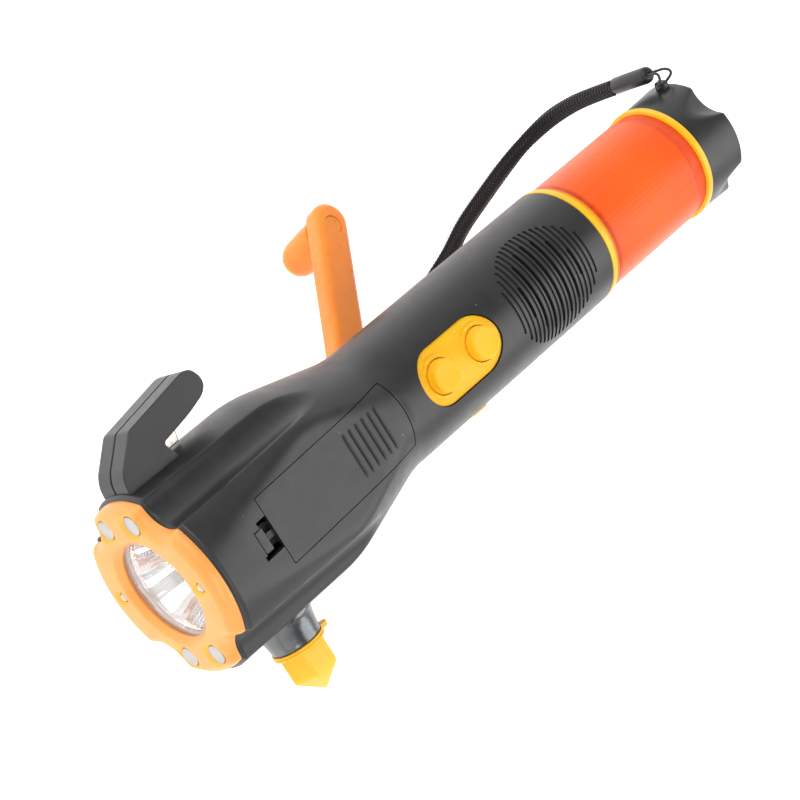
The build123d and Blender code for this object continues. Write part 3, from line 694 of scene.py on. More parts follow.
# speaker grille: shallow grooves over a circle, every second one open
grooves, slots = [], []
for k in range(-9, 10):
    dx = 1.9 * k
    half = math.sqrt(max(18.6 ** 2 - dx * dx, 1.0))
    if half > 3.0:
        grooves.append(wrap_slot("groove", 152.0 + dx, 0.5, -half, half, 19.55, 21.0, 26))
cas = boolean(cas, both("grooves", grooves))
for xs_, hs_ in ((140.6, 5.4), (144.3, 11.2), (148.1, 14.05), (152.0, 14.55), (155.8, 13.5), (159.6, 10.6), (163.4, 4.7)):
    slots.append(wrap_slot("slot", xs_, 0.62, -hs_, hs_, 15.0, 21.0, 26))
cas = boolean(cas, both("slots", slots))

# hammer seat
cas = boolean(cas, lathe("hseat", [(-20.0, 0), (-20.0, 4.55), (-26.0, 4.55), (-26.0, 9.65), (-40.0, 9.65), (-40.0, 0)], "Y", (26.8, 0, 0), 96))

# crank seat and knob pocket
cas = boolean(cas, lathe("hubrec", [(-40.0, 0), (-40.0, 15.6), (-15.2, 15.6), (-15.2, 4.0), (-10.0, 4.0), (-10.0, 0)], "Z", (95.3, 0, 0), 128))
cas = boolean(cas, lathe("knobrec", [(-40.0, 0), (-40.0, 7.3), (-2.6, 7.3), (-2.6, 0)], "Z", (142.98, 0, 0), 64))

# charging port recess and its socket hole
port = prism("port", corner_round([(89.7, -6.4), (119.8, -6.4), (119.8, 6.2), (89.7, 6.2)], [1.6] * 4), -25.0, -10.0, "Y")
port = boolean(port, body_solid("floor12", 1.2, 240, 80.0, 130.0))
cas = boolean(cas, port)
cas = boolean(cas, box("sock", 97.5, 107.0, -25.0, -15.0, -5.6, -2.2))

# screw holes
holes = []
for (px_, py_) in ((46, 18), (46, -18), (118, 11.8), (118, -11.8)):
    zb = -math.sqrt((28.6 if px_ < 60 else 20.0) ** 2 - py_ ** 2)
    holes.append(lathe("sh", [(zb - 3, 0), (zb - 3, 2.6), (zb + 5.0, 2.6), (zb + 5.0, 1.5), (6.0, 1.22), (6.0, 0)], "Z", (px_, py_, 0), 32))
cas = boolean(cas, both("screwholes", holes))
# room for the blade between the halves
cas = boolean(cas, prism("blade_room", [(11.9, 29.2), (11.9, 29.6), (18.9, 34.1), (31.0, 35.5), (31.8, 33.6), (30.6, 29.0), (19.9, 28.7)], -0.35, 0.35))

upper = cas.copy()
upper.data = cas.data.copy()
scene.collection.objects.link(upper)
upper = boolean(upper, box("cutu", -10, 300, -90, 90, 0.035, 90), "INTERSECT")
lower = boolean(cas, box("cutl", -10, 300, -90, 90, -90, -0.035), "INTERSECT")
upper.name = "v_upper_shell"
lower.name = "v_lower_shell"
for ob, nd in ((upper, "upper_shell"), (lower, "lower_shell")):
    finish(ob, M["shell"], "casing", nd, smooth=False)
    skin_normals(ob)

# blade with a ground edge
bl = layered("v_blade", [(12.0, 29.4), (19.0, 33.9), (30.4, 35.2), (31.4, 33.6), (30.2, 29.2), (20.0, 28.9)],
             [(-0.3, 0.0), (-0.1, 0.0), (0.1, 0.0), (0.3, 0.35)])
finish(bl, M["blade"], "casing", "cutter_blade", smooth=False)

# ------------------------------------------------------------------ battery door
door_out = corner_round([(25.4, -10.3), (82.5, -10.3), (83.6, -5.5), (84.2, 0), (83.6, 5.5), (82.5, 10.3), (25.4, 10.3)], [0.5, 0.5, 6, 8, 6, 0.5, 0.5])
door = prism("v_door", door_out, 8.0, 40.0)
door = clip(door, solid)
door = boolean(door, body_solid("floor14", 1.4, 300))
ribs = []
for xr in (61.1, 63.85, 66.75, 69.65, 72.5, 75.2):
    vs, fs = [], []
    ys = np.linspace(-6.9, 6.8, 23)
    for j, y in enumerate(ys):
        e = 1.0 if 0 < j < 22 else 0.35
        zz = surf_z(xr, y)
        for (dx, dz) in ((-0.5, -0.4), (-0.5, 0.02), (-0.28, 0.42 * e), (0.22, 0.5 * e), (0.45, 0.05), (0.5, -0.4)):
            vs.append((xr + dx, y, surf_z(xr + dx, y) + dz if abs(dz) < 0.1 or dz < 0 else zz + dz))
    m_ = 6
    for j in range(22):
        for k in range(m_):
            k2 = (k + 1) % m_
            fs.append((m_ * j + k, m_ * j + k2, m_ * j + m_ + k2, m_ * j + m_ + k))
    fs.append(tuple(range(m_))[::-1])
    fs.append(tuple(22 * m_ + i for i in range(m_)))
    ribs.append(outward(make("rib", vs, fs, False)))
door = boolean(door, both("ribs", ribs), "UNION")
zf = 26.32
door = boolean(door, box("dt1", 25.45, 26.5, -3.4, 3.2, zf - 4.2, zf - 1.0), "UNION")
door = boolean(door, box("dt2", 20.2, 26.5, -3.4, 3.2, zf - 4.2, zf - 3.2), "UNION")
door = boolean(door, box("dt4", 22.0, 25.8, -1.0, 0.9, zf - 3.4, zf - 1.0), "UNION")
for yy in (-5.5, 5.5):
    door = boolean(door, box("hook", 78.2, 80.6, yy - 1.6, yy + 1.6, 16.0, 19.5), "UNION")
tab = layered("tab", corner_round([(19.06, -3.45), (22.3, -3.45), (22.3, 3.38), (19.06, 3.38)], [0.05, 0.5, 0.5, 0.05], 3),
              [(zf - 4.0, 0.0), (zf + 0.1, 0.0), (zf + 0.42, 0.32)])
door = boolean(door, tab, "UNION")
finish(door, M["shell"], "door", "battery_door", smooth=False)
skin_normals(door)

drop(solid)
drop(hull05)

# ------------------------------------------------------------------ switch pad and keys
pad = layered("v_pad", stadium_pts(110 - 16.4, 110 + 16.4, 8.9, 40), [(14.65, 0.0), (24.0, 0.0)])
pad = boolean(pad, lathe("padcyl", rounded([(90, 0), (90, 19.45), (130, 19.45), (130, 0)], 0.5), "X", (0, 0, 0), 256), "INTERSECT")
pad = boolean(pad, prism("padin", stadium_pts(110 - 14.6, 110 + 14.6, 7.1, 32), 14.0, 17.4))
for kx in (101.4, 118.6):
    pad = boolean(pad, lathe("kr", [(18.4, 0), (18.4, 6.6), (19.2, 6.5), (19.36, 6.1), (19.44, 5.8), (19.44, 0)], "Z", (kx, 0, 0), 96), "UNION")
rims = []
for kx in (101.4, 118.6):
    rims.append(lathe("kh", [(14.0, 0), (14.0, 5.45), (19.0, 5.45), (19.5, 5.5), (30.0, 5.6), (30.0, 0)], "Z", (kx, 0, 0), 96))
pad = boolean(pad, both("keyholes", rims))
pad = bevel(pad, 0.3, 3, 50)
finish(pad, M["rubber"], "casing", "switch_pad")
for kx, nm in ((101.4, "front_key"), (118.6, "rear_key")):
    prof = [(13.5, 0), (13.5, 1.6), (15.8, 1.6), (15.8, 5.2), (19.2, 5.2), (19.9, 5.12), (20.8, 4.98), (21.6, 4.82)]
    prof += [(21.85 + 0.7 * sin(a), 4.12 + 0.7 * cos(a)) for a in np.linspace(0.15, pi / 2, 7)]
    prof += [(22.55 - 0.28 * (1 - (r_ / 4.12) ** 2), r_) for r_ in (3.8, 3.2, 2.4, 1.4)] + [(22.24, 0)]
    k_ = lathe("v_" + nm, prof, "Z", (kx, 0, 0), 96)
    finish(k_, M["rubber"], nm, nm, angle=40)


def xf(ob, origin, ex, ey, ez):
    # takes a mesh from a local frame to the shared one; origin in millimetres
    ex, ey, ez = Vector(ex), Vector(ey), Vector(ez)
    mt = Matrix((ex, ey, ez)).transposed().to_4x4()
    mt.translation = Vector(origin) * MM
    ob.data.transform(mt)
    ob.data.update()
    return ob


def ring_rows(name, rows, segs, faces_mat=None):
    # closed tube through rings of points; rows: list of lists of points, last joins first
    vs = [p for row in rows for p in row]
    fs, mi = [], []
    n = len(rows)
    for i in range(n):
        j = (i + 1) % n
        for k in range(segs):
            k2 = (k + 1) % segs
            fs.append((i * segs + k, i * segs + k2, j * segs + k2, j * segs + k))
            mi.append(faces_mat[i] if faces_mat else 0)
    ob = make(name, vs, fs)
    if faces_mat:
        ob.data.materials.append(None)
        ob.data.materials.append(None)
        ob.data.polygons.foreach_set("material_index", mi)
    return outward(ob)


# ------------------------------------------------------------------ more materials
def clear_mat(name, col=(1, 1, 1), rough=0.02, ior=1.49, alpha=0.0, trans=1.0):
    mat, nt, bs = new_mat(name)
    v = coords(nt)
    n = noise_node(nt, v, 300.0, 2.0)
    bs.inputs["Transmission Weight"].default_value = trans
    bs.inputs["IOR"].default_value = ior
    nt.links.new(ramp(nt, n, [(0.3, tuple(c * 0.985 for c in col)), (0.7, col)]), bs.inputs["Base Color"])
    nt.links.new(maprange(nt, n, rough, rough + 0.03, 0.4, 0.8), bs.inputs["Roughness"])
    if alpha > 0:
        bs.inputs["Alpha"].default_value = alpha
    return mat


def reflector_mat(name):
    mat, nt, bs = new_mat(name)
    v = coords(nt)
    n = noise_node(nt, v, 260.0, 3.0, 0.6)
    nt.links.new(ramp(nt, n, [(0.25, (0.80, 0.79, 0.80)), (0.75, (0.95, 0.94, 0.94))]), bs.inputs["Base Color"])
    bs.inputs["Metallic"].default_value = 1.0
    nt.links.new(maprange(nt, n, 0.04, 0.13, 0.3, 0.75), bs.inputs["Roughness"])
    nt.links.new(bump(nt, n, 0.4, 0.00025), bs.inputs["Normal"])
    return mat


def beacon_mat(name):
    mat, nt, bs = new_mat(name)
    v = coords(nt)
    sep = nt.nodes.new("ShaderNodeSeparateXYZ")
    nt.links.new(v, sep.inputs[0])
    t = maprange(nt, sep.outputs[0], 0.0, 1.0, 0.1789, 0.2269)
    # colour bands along the lens: yellow at the front lip, painted shade as a dark red band next to the front ring,
    # orange body, and painted shade darkening from the step by the rear ring
    band = ramp(nt, t, [(0.0, (1.0, 0.46, 0.02)), (0.030, (1.0, 0.36, 0.02)), (0.040, (0.42, 0.030, 0.004)), (0.062, (0.62, 0.045, 0.006)), (0.085, (0.95, 0.105, 0.012)),
                        (0.5, (0.97, 0.125, 0.012)), (0.885, (0.95, 0.10, 0.012)), (0.90, (0.72, 0.060, 0.014)), (1.0, (0.80, 0.09, 0.03))])
    n = noise_node(nt, coords(nt, (18.0, 320.0, 320.0)), 1.0, 3.0, 0.6)
    col = mix_rgb(nt, maprange(nt, n, 0.0, 0.30, 0.35, 0.75), band, (1.0, 0.17, 0.035))
    nt.links.new(col, bs.inputs["Base Color"])
    nt.links.new(maprange(nt, n, 0.26, 0.36, 0.3, 0.7), bs.inputs["Roughness"])
    bs.inputs["IOR"].default_value = 1.45
    bs.inputs["Specular IOR Level"].default_value = 0.22
    bs.inputs["Subsurface Weight"].default_value = 0.2
    bs.inputs["Subsurface Radius"].default_value = (0.0025, 0.0008, 0.0003)
    bs.inputs["Subsurface Scale"].default_value = 1.0
    grid = nt.nodes.new("ShaderNodeTexWave")
    grid.bands_direction = "X"
    grid.inputs["Scale"].default_value = 830.0 * 0.314
    nt.links.new(v, grid.inputs["Vector"])
    fine = noise_node(nt, coords(nt, (60.0, 1900.0, 1900.0)), 1.0, 2.0)
    b1 = bump(nt, grid.outputs["Fac"], 0.3, 0.00012)
    nt.links.new(bump(nt, fine, 0.45, 0.00014, b1), bs.inputs["Normal"])
    return mat


def board_mat(name):
    mat, nt, bs = new_mat(name)
    v = coords(nt)
    vo = nt.nodes.new("ShaderNodeTexVoronoi")
    vo.inputs["Scale"].default_value = 260.0
    vo.distance = "MANHATTAN"
    nt.links.new(v, vo.inputs["Vector"])
    nt.links.new(ramp(nt, vo.outputs["Distance"], [(0.05, (0.02, 0.14, 0.05)), (0.5, (0.015, 0.10, 0.04)), (0.75, (0.05, 0.22, 0.09))]), bs.inputs["Base Color"])
    nt.links.new(maprange(nt, noise_node(nt, v, 400.0), 0.3, 0.5, 0.3, 0.7), bs.inputs["Roughness"])
    return mat


def cell_mat(name):
    mat, nt, bs = new_mat(name)
    v = coords(nt)
    w = nt.nodes.new("ShaderNodeTexWave")
    w.inputs["Scale"].default_value = 22.0
    w.inputs["Distortion"].default_value = 0.0
    nt.links.new(v, w.inputs["Vector"])
    nt.links.new(ramp(nt, w.outputs["Fac"], [(0.2, (0.02, 0.06, 0.22)), (0.8, (0.04, 0.12, 0.36))]), bs.inputs["Base Color"])
    nt.links.new(maprange(nt, noise_node(nt, v, 300.0), 0.25, 0.4, 0.3, 0.7), bs.inputs["Roughness"])
    bs.inputs["Metallic"].default_value = 0.3
    return mat


def strap_mat(name, col, col2):
    mat, nt, bs = new_mat(name)
    v = coords(nt, (2600.0, 2600.0, 900.0))
    n = noise_node(nt, v, 1.0, 4.0, 0.7)
    nt.links.new(ramp(nt, n, [(0.3, col2), (0.72, col)]), bs.inputs["Base Color"])
    nt.links.new(maprange(nt, n, 0.62, 0.86, 0.3, 0.7), bs.inputs["Roughness"])
    nt.links.new(bump(nt, n, 0.8, 0.0001), bs.inputs["Normal"])
    bs.inputs["Sheen Weight"].default_value = 0.35
    bs.inputs["Sheen Roughness"].default_value = 0.4
    bs.inputs["Specular IOR Level"].default_value = 0.3
    return mat


M["clear"] = clear_mat("clear_lens", alpha=0.22)
M["led"] = clear_mat("led_clear", (0.98, 0.97, 0.90), 0.12, 1.5, 0.0, 0.45)
M["reflector"] = reflector_mat("reflector_chrome")
M["beacon"] = beacon_mat("beacon_orange")
M["board"] = board_mat("circuit_board")
M["cell"] = cell_mat("cell_blue")
M["strap"] = strap_mat("strap_black", srgb(30, 30, 33), srgb(14, 14, 16))
M["string"] = strap_mat("string_grey", srgb(78, 75, 72), srgb(38, 36, 35))
# lighter, yellower copy of the bezel plastic: painted highlight on the bezel's rounded rims and pocket countersinks
M["edge"] = moulded("bezel_edge", srgb(255, 186, 70), srgb(254, 176, 58), rough=0.36, spread=0.05, grain=0.00002, spec=0.5, subsurface=0.25)
M["black_rubber"] = moulded("seal_rubber", srgb(36, 36, 38), rough=0.6, grain=0.00004, spec=0.3)
M["ledboard"] = moulded("led_board_white", srgb(228, 226, 215), srgb(214, 210, 196), rough=0.5)

# ------------------------------------------------------------------ front bezel
def bez_r(th, off, x):
    th = np.asarray(th, float)
    r = np.full_like(th, 27.4 - off)
    fc = 31.9 + (x - 4.2) * math.tan(rad(2.15))
    fr = 8.4 + off
    for a in FL_A:
        d = np.abs((th - rad(a) + pi) % (2 * pi) - pi)
        s2 = (fc * np.sin(d)) ** 2
        ins = (d < pi / 2) & (s2 < fr * fr)
        f = np.where(ins, fc * np.cos(d) - np.sqrt(np.maximum(fr * fr - s2, 0.0)), 60.0)
        r = smin(r, np.minimum(f, 60.0), 1.0)
    return r


NB = 480
tb = np.linspace(0, 2 * pi, NB, endpoint=False)
rows, mats_ = [], []


def bez_row(x, r, mi):
    rr = np.full(NB, r) if np.isscalar(r) else r
    rows.append([(x, float(q) * sin(t), float(q) * cos(t)) for q, t in zip(rr, tb)])
    mats_.append(mi)


# material slot 1, the painted-highlight copy, goes on the bore chamfer and the outer rounded rim
bez_row(9.0, 17.4, 0)
bez_row(2.2, 17.4, 0)
bez_row(2.2, 15.3, 0)
bez_row(1.6, 15.3, 1)
bez_row(0.9, 15.9, 1)
bez_row(0.25, 16.75, 1)
bez_row(0.04, 17.15, 0)
bez_row(0.0, 17.5, 0)
bez_row(0.0, bez_r(tb, 2.9, 0.0), 0)
bez_row(0.06, bez_r(tb, 2.55, 0.0), 1)
bez_row(0.45, bez_r(tb, 1.75, 0.4), 1)
bez_row(1.05, bez_r(tb, 1.0, 1.0), 0)
bez_row(1.9, bez_r(tb, 0.4, 1.9), 0)
bez_row(2.7, bez_r(tb, 0.08, 2.7), 0)
bez_row(3.3, bez_r(tb, 0.0, 3.3), 0)
bez_row(4.1, bez_r(tb, 0.0, 4.1), 0)
bez_row(4.18, bez_r(tb, 0.1, 4.2), 0)
bez_row(4.18, 21.0, 0)
bez_row(9.0, 21.0, 0)
bez = ring_rows("v_bezel", rows, NB, mats_)
bez.data.materials.clear()
bez.data.materials.append(M["bezel"])
bez.data.materials.append(M["edge"])
# the pocket cutters carry the painted-highlight material onto the countersinks they leave
cuts, mags = [], []
for base in (90, -90):
    for s in (1, -1):
        a = rad(base + s * 18.5)
        y, z = 22.1 * sin(a), 22.1 * cos(a)
        c = lathe("mp", [(-1.0, 0), (-1.0, 4.5), (-0.02, 4.25), (0.4, 3.85), (0.9, 3.1), (2.55, 3.05), (2.6, 0)], "X", (0, y, z), 64)
        c.data.materials.append(M["edge"])
        cuts.append(c)
        mags.append(lathe("mg", [(0.58, 0), (0.55, 1.2), (0.55, 2.72), (0.62, 2.88), (0.8, 2.98), (2.55, 2.98), (2.6, 0)], "X", (0, y, z), 64))
for s in (1, -1):
    c = lathe("lp", [(-1.0, 0), (-1.0, 2.9), (-0.02, 2.7), (0.3, 2.3), (0.8, 1.6), (9.5, 1.56), (9.5, 0)], "X", (0, 0, s * 20.6), 48)
    c.data.materials.append(M["edge"])
    cuts.append(c)
for c in cuts:
    bez = boolean(bez, c)
sharp(bez, 35)
print("bezel materials", [m_.name if m_ else None for m_ in bez.data.materials])
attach(bez, "casing")
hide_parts("front_bezel")
finish(both("v_magnets", mags), M["magnet"], "casing", "bezel_magnets")
domes = []
for s in (1, -1):
    prof = [(0.1 + 1.5 * (1 - cos(a)), 1.5 * sin(a)) for a in np.linspace(0, pi / 2, 9)] + [(8.5, 1.5), (8.6, 1.4), (8.6, 0)]
    domes.append(lathe("dm", prof, "X", (0, 0, s * 20.6), 48))
finish(both("v_signal_leds", domes), M["led"], "casing", "signal_leds", angle=50)

# ------------------------------------------------------------------ lens, reflector, LED
finish(lathe("v_lens", [(2.30, 0), (2.31, 9.0), (2.34, 14.5), (2.45, 16.9), (2.7, 17.3), (3.55, 17.3), (3.8, 17.05), (3.8, 0)], "X", (0, 0, 0), 160),
       M["clear"], "casing", "lens", angle=40)
FOC, VX = 3.14, 23.4
segs = 160
rows = []
xs = [5.0 + (22.1 - 5.0) * (i / 22.0) ** 0.85 for i in range(23)]
for x in xs:
    r = math.sqrt(4 * FOC * (VX - x))
    rows.append([(x, (r - 0.07 * (0.5 + 0.5 * cos(40 * t))) * sin(t), (r - 0.07 * (0.5 + 0.5 * cos(40 * t))) * cos(t)) for t in np.linspace(0, 2 * pi, segs, endpoint=False)])
for x in xs[::-1]:
    r = math.sqrt(4 * FOC * (VX - x)) + 0.9
    rows.append([(x + 0.001, r * sin(t), r * cos(t)) for t in np.linspace(0, 2 * pi, segs, endpoint=False)])
for (x, r) in ((5.9, 16.8), (5.9, 17.0), (5.7, 17.2), (4.85, 17.2), (4.75, 17.1), (4.75, 15.6)):
    rows.append([(x, r * sin(t), r * cos(t)) for t in np.linspace(0, 2 * pi, segs, endpoint=False)])
refl = ring_rows("v_reflector", rows, segs)
finish(refl, M["reflector"], "casing", "reflector", angle=40)
prof = [(17.2 + 2.4 * (1 - cos(a)), 2.4 * sin(a)) for a in np.linspace(0, pi / 2, 9)] + [(22.1, 2.4), (22.25, 2.75), (22.9, 2.75), (22.9, 0)]
finish(lathe("v_main_led", prof, "X", (0, 0, 0), 64), M["led"], "casing", "main_led", angle=40)

# ------------------------------------------------------------------ hammer
col_prof = rounded([(-21.6, 0), (-21.6, 4.5), (-26.0, 4.5), (-26.0, 9.6), (-27.6, 9.6), (-28.7, 9.05), (-30.2, 8.6), (-32.2, 8.25), (-34.4, 7.9), (-35.6, 7.85), (-35.6, 0)], 0.35, 3)
finish(lathe("v_hammer_collar", col_prof, "Y", (26.8, 0, 0), 128), M["dark_steel"], "casing", "hammer_collar", angle=40)
flange = lathe("flange", [(-35.7, 0), (-35.7, 7.95), (-35.78, 8.12), (-35.95, 8.2), (-36.35, 8.2), (-36.5, 7.98), (-36.65, 8.2), (-37.1, 8.2), (-37.3, 8.12), (-37.4, 7.9), (-37.4, 0)], "Y", (26.8, 0, 0), 128)
vs, fs = [], []
ringsy = [(-37.0, 1.0), (-44.7, 1.0), (-45.1, 0.985), (-45.45, 0.955), (-51.1, 0.10), (-51.5, 0.045)]
for (y, k) in ringsy:
    for q in range(6):
        for f_ in (-0.035, 0.035):
            a0 = rad(60 * q)
            a = a0 + f_
            rr = 7.8 * k * (1.0 - 0.018)
            vs.append((26.8 + rr * cos(a) / cos(f_) * cos(f_), y, rr * sin(a)))
m_ = 12
for j in range(len(ringsy) - 1):
    for k in range(m_):
        k2 = (k + 1) % m_
        fs.append((m_ * j + k, m_ * j + k2, m_ * j + m_ + k2, m_ * j + m_ + k))
fs.append(tuple(range(m_))[::-1])
fs.append(tuple((len(ringsy) - 1) * m_ + i for i in range(m_)))
hexa = outward(make("hexa", vs, fs, False))
cap = boolean(flange, hexa, "UNION")
tabo = layered("tabo", stadium_pts(31.5, 37.25, 1.35, 14, 1.5), [(-37.4, 0.25), (-37.15, 0.0), (-35.95, 0.0), (-35.7, 0.25)], "Y")
cap = boolean(cap, tabo, "UNION")
cap = boolean(cap, lathe("capin", [(-30.0, 0), (-30.0, 4.9), (-40.8, 4.9), (-47.6, 1.0), (-47.8, 0)], "Y", (26.8, 0, 0), 64))
cap.name = "v_hammer_cap"
finish(cap, M["yellow"], "cap", "hammer_cap", angle=18)

# ------------------------------------------------------------------ rings, beacon, tail
finish(lathe("v_front_ring", [(171.8, 16.0), (171.8, 17.3), (171.95, 17.45), (176.8, 17.45), (176.8, 19.7), (176.9, 19.93), (177.1, 20.0), (178.6, 20.0), (178.8, 19.93),
                              (178.9, 19.7), (178.9, 16.6), (177.3, 16.6), (177.3, 16.0)], "X", (0, 0, 0), 192, True), M["yellow"], "casing", "front_ring")
finish(lathe("v_rear_ring", [(226.9, 16.6), (226.9, 19.7), (227.0, 19.93), (227.2, 20.0), (228.7, 20.0), (228.9, 19.93), (229.0, 19.7), (229.0, 16.6)], "X", (0, 0, 0), 192, True),
       M["yellow"], "casing", "rear_ring")
NS = 480
tt = np.linspace(0, 2 * pi, NS, endpoint=False)
rows = []
ridge = 0.5 + 0.5 * np.cos(80 * tt)
xb = [178.9, 179.1, 180.0, 180.1, 180.4, 180.5]
for x in xb:
    r = 19.2 - (0.22 if 180.05 < x < 180.45 else 0.0)
    rows.append([(x, r * sin(t), r * cos(t)) for t in tt])
x = 180.8
while x < 221.6:
    amp = 0.045 * (0.5 - 0.5 * cos(2 * pi * (x - 180.8) / 1.2))
    r = 19.2 - amp - 0.04 * ridge
    rows.append([(x, float(q) * sin(t), float(q) * cos(t)) for q, t in zip(r, tt)])
    x += 0.3
for (x, r) in ((221.9, 19.2), (222.1, 19.15), (222.5, 18.87), (222.8, 18.85), (226.8, 18.85), (226.9, 18.75), (226.9, 17.2), (200.0, 17.2), (178.9, 17.2)):
    rows.append([(x, r * sin(t), r * cos(t)) for t in tt])
finish(ring_rows("v_beacon_lens", rows, NS), M["beacon"], "casing", "beacon_lens", angle=60)


def tail_r(x, th, base):
    r = np.full_like(th, base)
    c = 27.6 - (x - 245.5) * math.tan(rad(17.0))
    ay, az = 10.6 ** 2, 11.08 ** 2
    for k in range(4):
        d = np.abs((th - rad(33.0 + 90 * k) + pi) % (2 * pi) - pi)
        A_ = np.sin(d) ** 2 / ay + np.cos(d) ** 2 / az
        B_ = c * np.cos(d) / az
        C_ = c * c / az - 1.0
        disc = B_ * B_ - A_ * C_
        f = np.where((disc > 0) & (d < pi / 2), (B_ - np.sqrt(np.maximum(disc, 0.0))) / A_, 60.0)
        r = smin(r, np.minimum(f, 60.0), 0.9)
    return r


NT = 360
tt = np.linspace(0, 2 * pi, NT, endpoint=False)
rows = []
for (x, r) in ((242.5, 0.4), (242.5, 16.8), (229.0, 16.8), (229.0, 19.35), (229.08, 19.52), (229.3, 19.6)):
    rows.append([(x, r * sin(t), r * cos(t)) for t in tt])
x = 229.8
while x < 244.3:
    rr = tail_r(x, tt, 19.6 + 0.5 * (x - 229.0) / 15.3)
    rows.append([(x, float(q) * sin(t), float(q) * cos(t)) for q, t in zip(rr, tt)])
    x += 0.45
for (x, inset) in ((244.45, 0.05), (244.75, 0.18), (245.05, 0.4), (245.3, 0.7), (245.45, 1.05), (245.5, 1.4)):
    rr = tail_r(x, tt, 20.1) - inset
    rows.append([(x, float(q) * sin(t), float(q) * cos(t)) for q, t in zip(rr, tt)])
vs = [p for row in rows for p in row]
fs = []
for i in range(len(rows) - 1):
    for k in range(NT):
        k2 = (k + 1) % NT
        fs.append((i * NT + k, i * NT + k2, (i + 1) * NT + k2, (i + 1) * NT + k))
vs += [(242.5, 0, 0), (245.5, 0, 0)]
for k in range(NT):
    k2 = (k + 1) % NT
    fs.append((len(vs) - 2, k2, k))
    fs.append((len(vs) - 1, (len(rows) - 1) * NT + k, (len(rows) - 1) * NT + k2))
tail = outward(make("v_tail_cap", vs, fs))
la = rad(78.0)
er = Vector((0, sin(la), cos(la)))
et = Vector((0, cos(la), -sin(la)))
lug = layered("lug", corner_round([(-2.2, 17.5), (2.2, 17.5), (2.2, 22.5), (-2.2, 22.5)], [0, 0, 1.5, 1.5], 6),
              [(-1.1, 0.3), (-0.85, 0.0), (0.85, 0.0), (1.1, 0.3)])
xf(lug, (241.7, 0, 0), et, er, et.cross(er))
outward(lug)
tail = boolean(tail, lug, "UNION")
tail = boolean(tail, lathe("lughole", [(239.0, 0), (239.0, 1.6), (240.7, 0.95), (242.7, 0.95), (244.4, 1.6), (244.4, 0)], "X", (0, 20.9 * sin(la), 20.9 * cos(la)), 32))
tail.name = "v_tail_cap"
finish(tail, M["cap_black"], "casing", "tail_cap", angle=38)

# ------------------------------------------------------------------ crank
PH = rad(43.2)
HX = Vector((95.3, 0, 0))
U3, V3, Z3 = Vector((cos(PH), sin(PH), 0)), Vector((-sin(PH), cos(PH), 0)), Vector((0, 0, 1))
PIN_U, PIN_Z = 7.953, -22.625
hub = lathe("v_crank_hub", [(-15.7, 0), (-15.7, 14.0), (-15.95, 14.3), (-19.4, 14.3), (-19.9, 14.12), (-20.15, 13.75), (-20.2, 13.3), (-20.2, 0)], "Z", (0, 0, 0), 160)
slot = box("hslot", 4.6, 16.0, -6.35, 6.35, -21.5, -17.8)
hub = boolean(hub, slot)
ear = [(5.0, -16.2), (5.0, -22.6)] + [(PIN_U + 2.95 * cos(a), PIN_Z + 2.95 * sin(a)) for a in np.linspace(pi, 2 * pi, 24)] + [(10.9, -22.6), (10.9, -16.2)]
for (y0, y1) in ((6.4, 8.6), (-8.6, -6.4)):
    e = layered("ear", ear, rolled(y0, y1, 0.35), "Y")
    hub = boolean(hub, e, "UNION")
hub = boolean(hub, lathe("pinhole", [(-12, 0), (-12, 1.27), (12, 1.27), (12, 0)], "Y", (PIN_U, 0, PIN_Z), 32))
hub = boolean(hub, lathe("shafthole", [(-19.0, 0), (-19.0, 2.5), (-10, 2.5), (-10, 0)], "Z", (0, 0, 0), 32))
xf(hub, HX, U3, V3, Z3)
finish(hub, M["crank"], "crank", "crank_hub")

FOOT = Vector((101.49623, 5.81865, -21.44557))
AA = Vector((0.66121, 0.62091, -0.42104)).normalized()
KK = Vector((-0.30692, -0.28822, -0.90704)).normalized()
ZZ = -KK
YY = ZZ.cross(AA)
S_END, S_KNOB = 58.229, 55.629
out = []
n_ = 20
for a in np.linspace(-pi / 2, pi / 2, n_):
    out.append((S_END + 6.0 * cos(a), 6.0 * sin(a)))
for s_ in np.linspace(S_END - 2.0, 2.0, 30):
    out.append((float(s_), 6.0))
out.append((0.4, 6.0))
out.append((0.4, -6.0))
for s_ in np.linspace(2.0, S_END - 2.0, 30):
    out.append((float(s_), -6.0))
lay = [(-3.5 + 1.2 * (1 - cos(a)), 1.2 * (1 - sin(a))) for a in np.linspace(0, pi / 2, 5)]
lay += [(3.5 - 2.6 * (1 - sin(a)), 2.6 * (1 - cos(a))) for a in np.linspace(0, pi / 2, 8)]
arm = layered("v_crank_arm", out, lay)
knuck = lathe("knuck", [(-6.0, 0), (-6.0, 2.7), (-5.8, 2.9), (5.8, 2.9), (6.0, 2.7), (6.0, 0)], "Y", (0, 0, -1.3), 64)
arm = boolean(arm, knuck, "UNION")
arm = boolean(arm, box("neck", -0.2, 4.0, -5.95, 5.95, -3.45, 1.55), "UNION")
arm = boolean(arm, lathe("ph", [(-12, 0), (-12, 1.3), (12, 1.3), (12, 0)], "Y", (0, 0, -1.3), 32))
arm = boolean(arm, lathe("kh", [(-8, 0), (-8, 1.55), (2.3, 1.55), (2.3, 3.05), (3.3, 3.05), (3.7, 3.4), (8, 3.4), (8, 0)], "Z", (S_KNOB, 0, 0), 64))
xf(arm, FOOT, AA, YY, ZZ)
finish(arm, M["crank"], "arm", "crank_arm")
spin = lathe("v_knob_spindle", [(-16.0, 0), (-16.0, 1.35), (-15.8, 1.5), (2.3, 1.5), (2.3, 2.95), (2.9, 3.0), (3.1, 2.85), (3.1, 1.9), (2.95, 1.7), (2.95, 0)], "Z", (S_KNOB, 0, 0), 64)
xf(spin, FOOT, AA, YY, ZZ)
finish(spin, M["crank"], "arm", "knob_spindle")
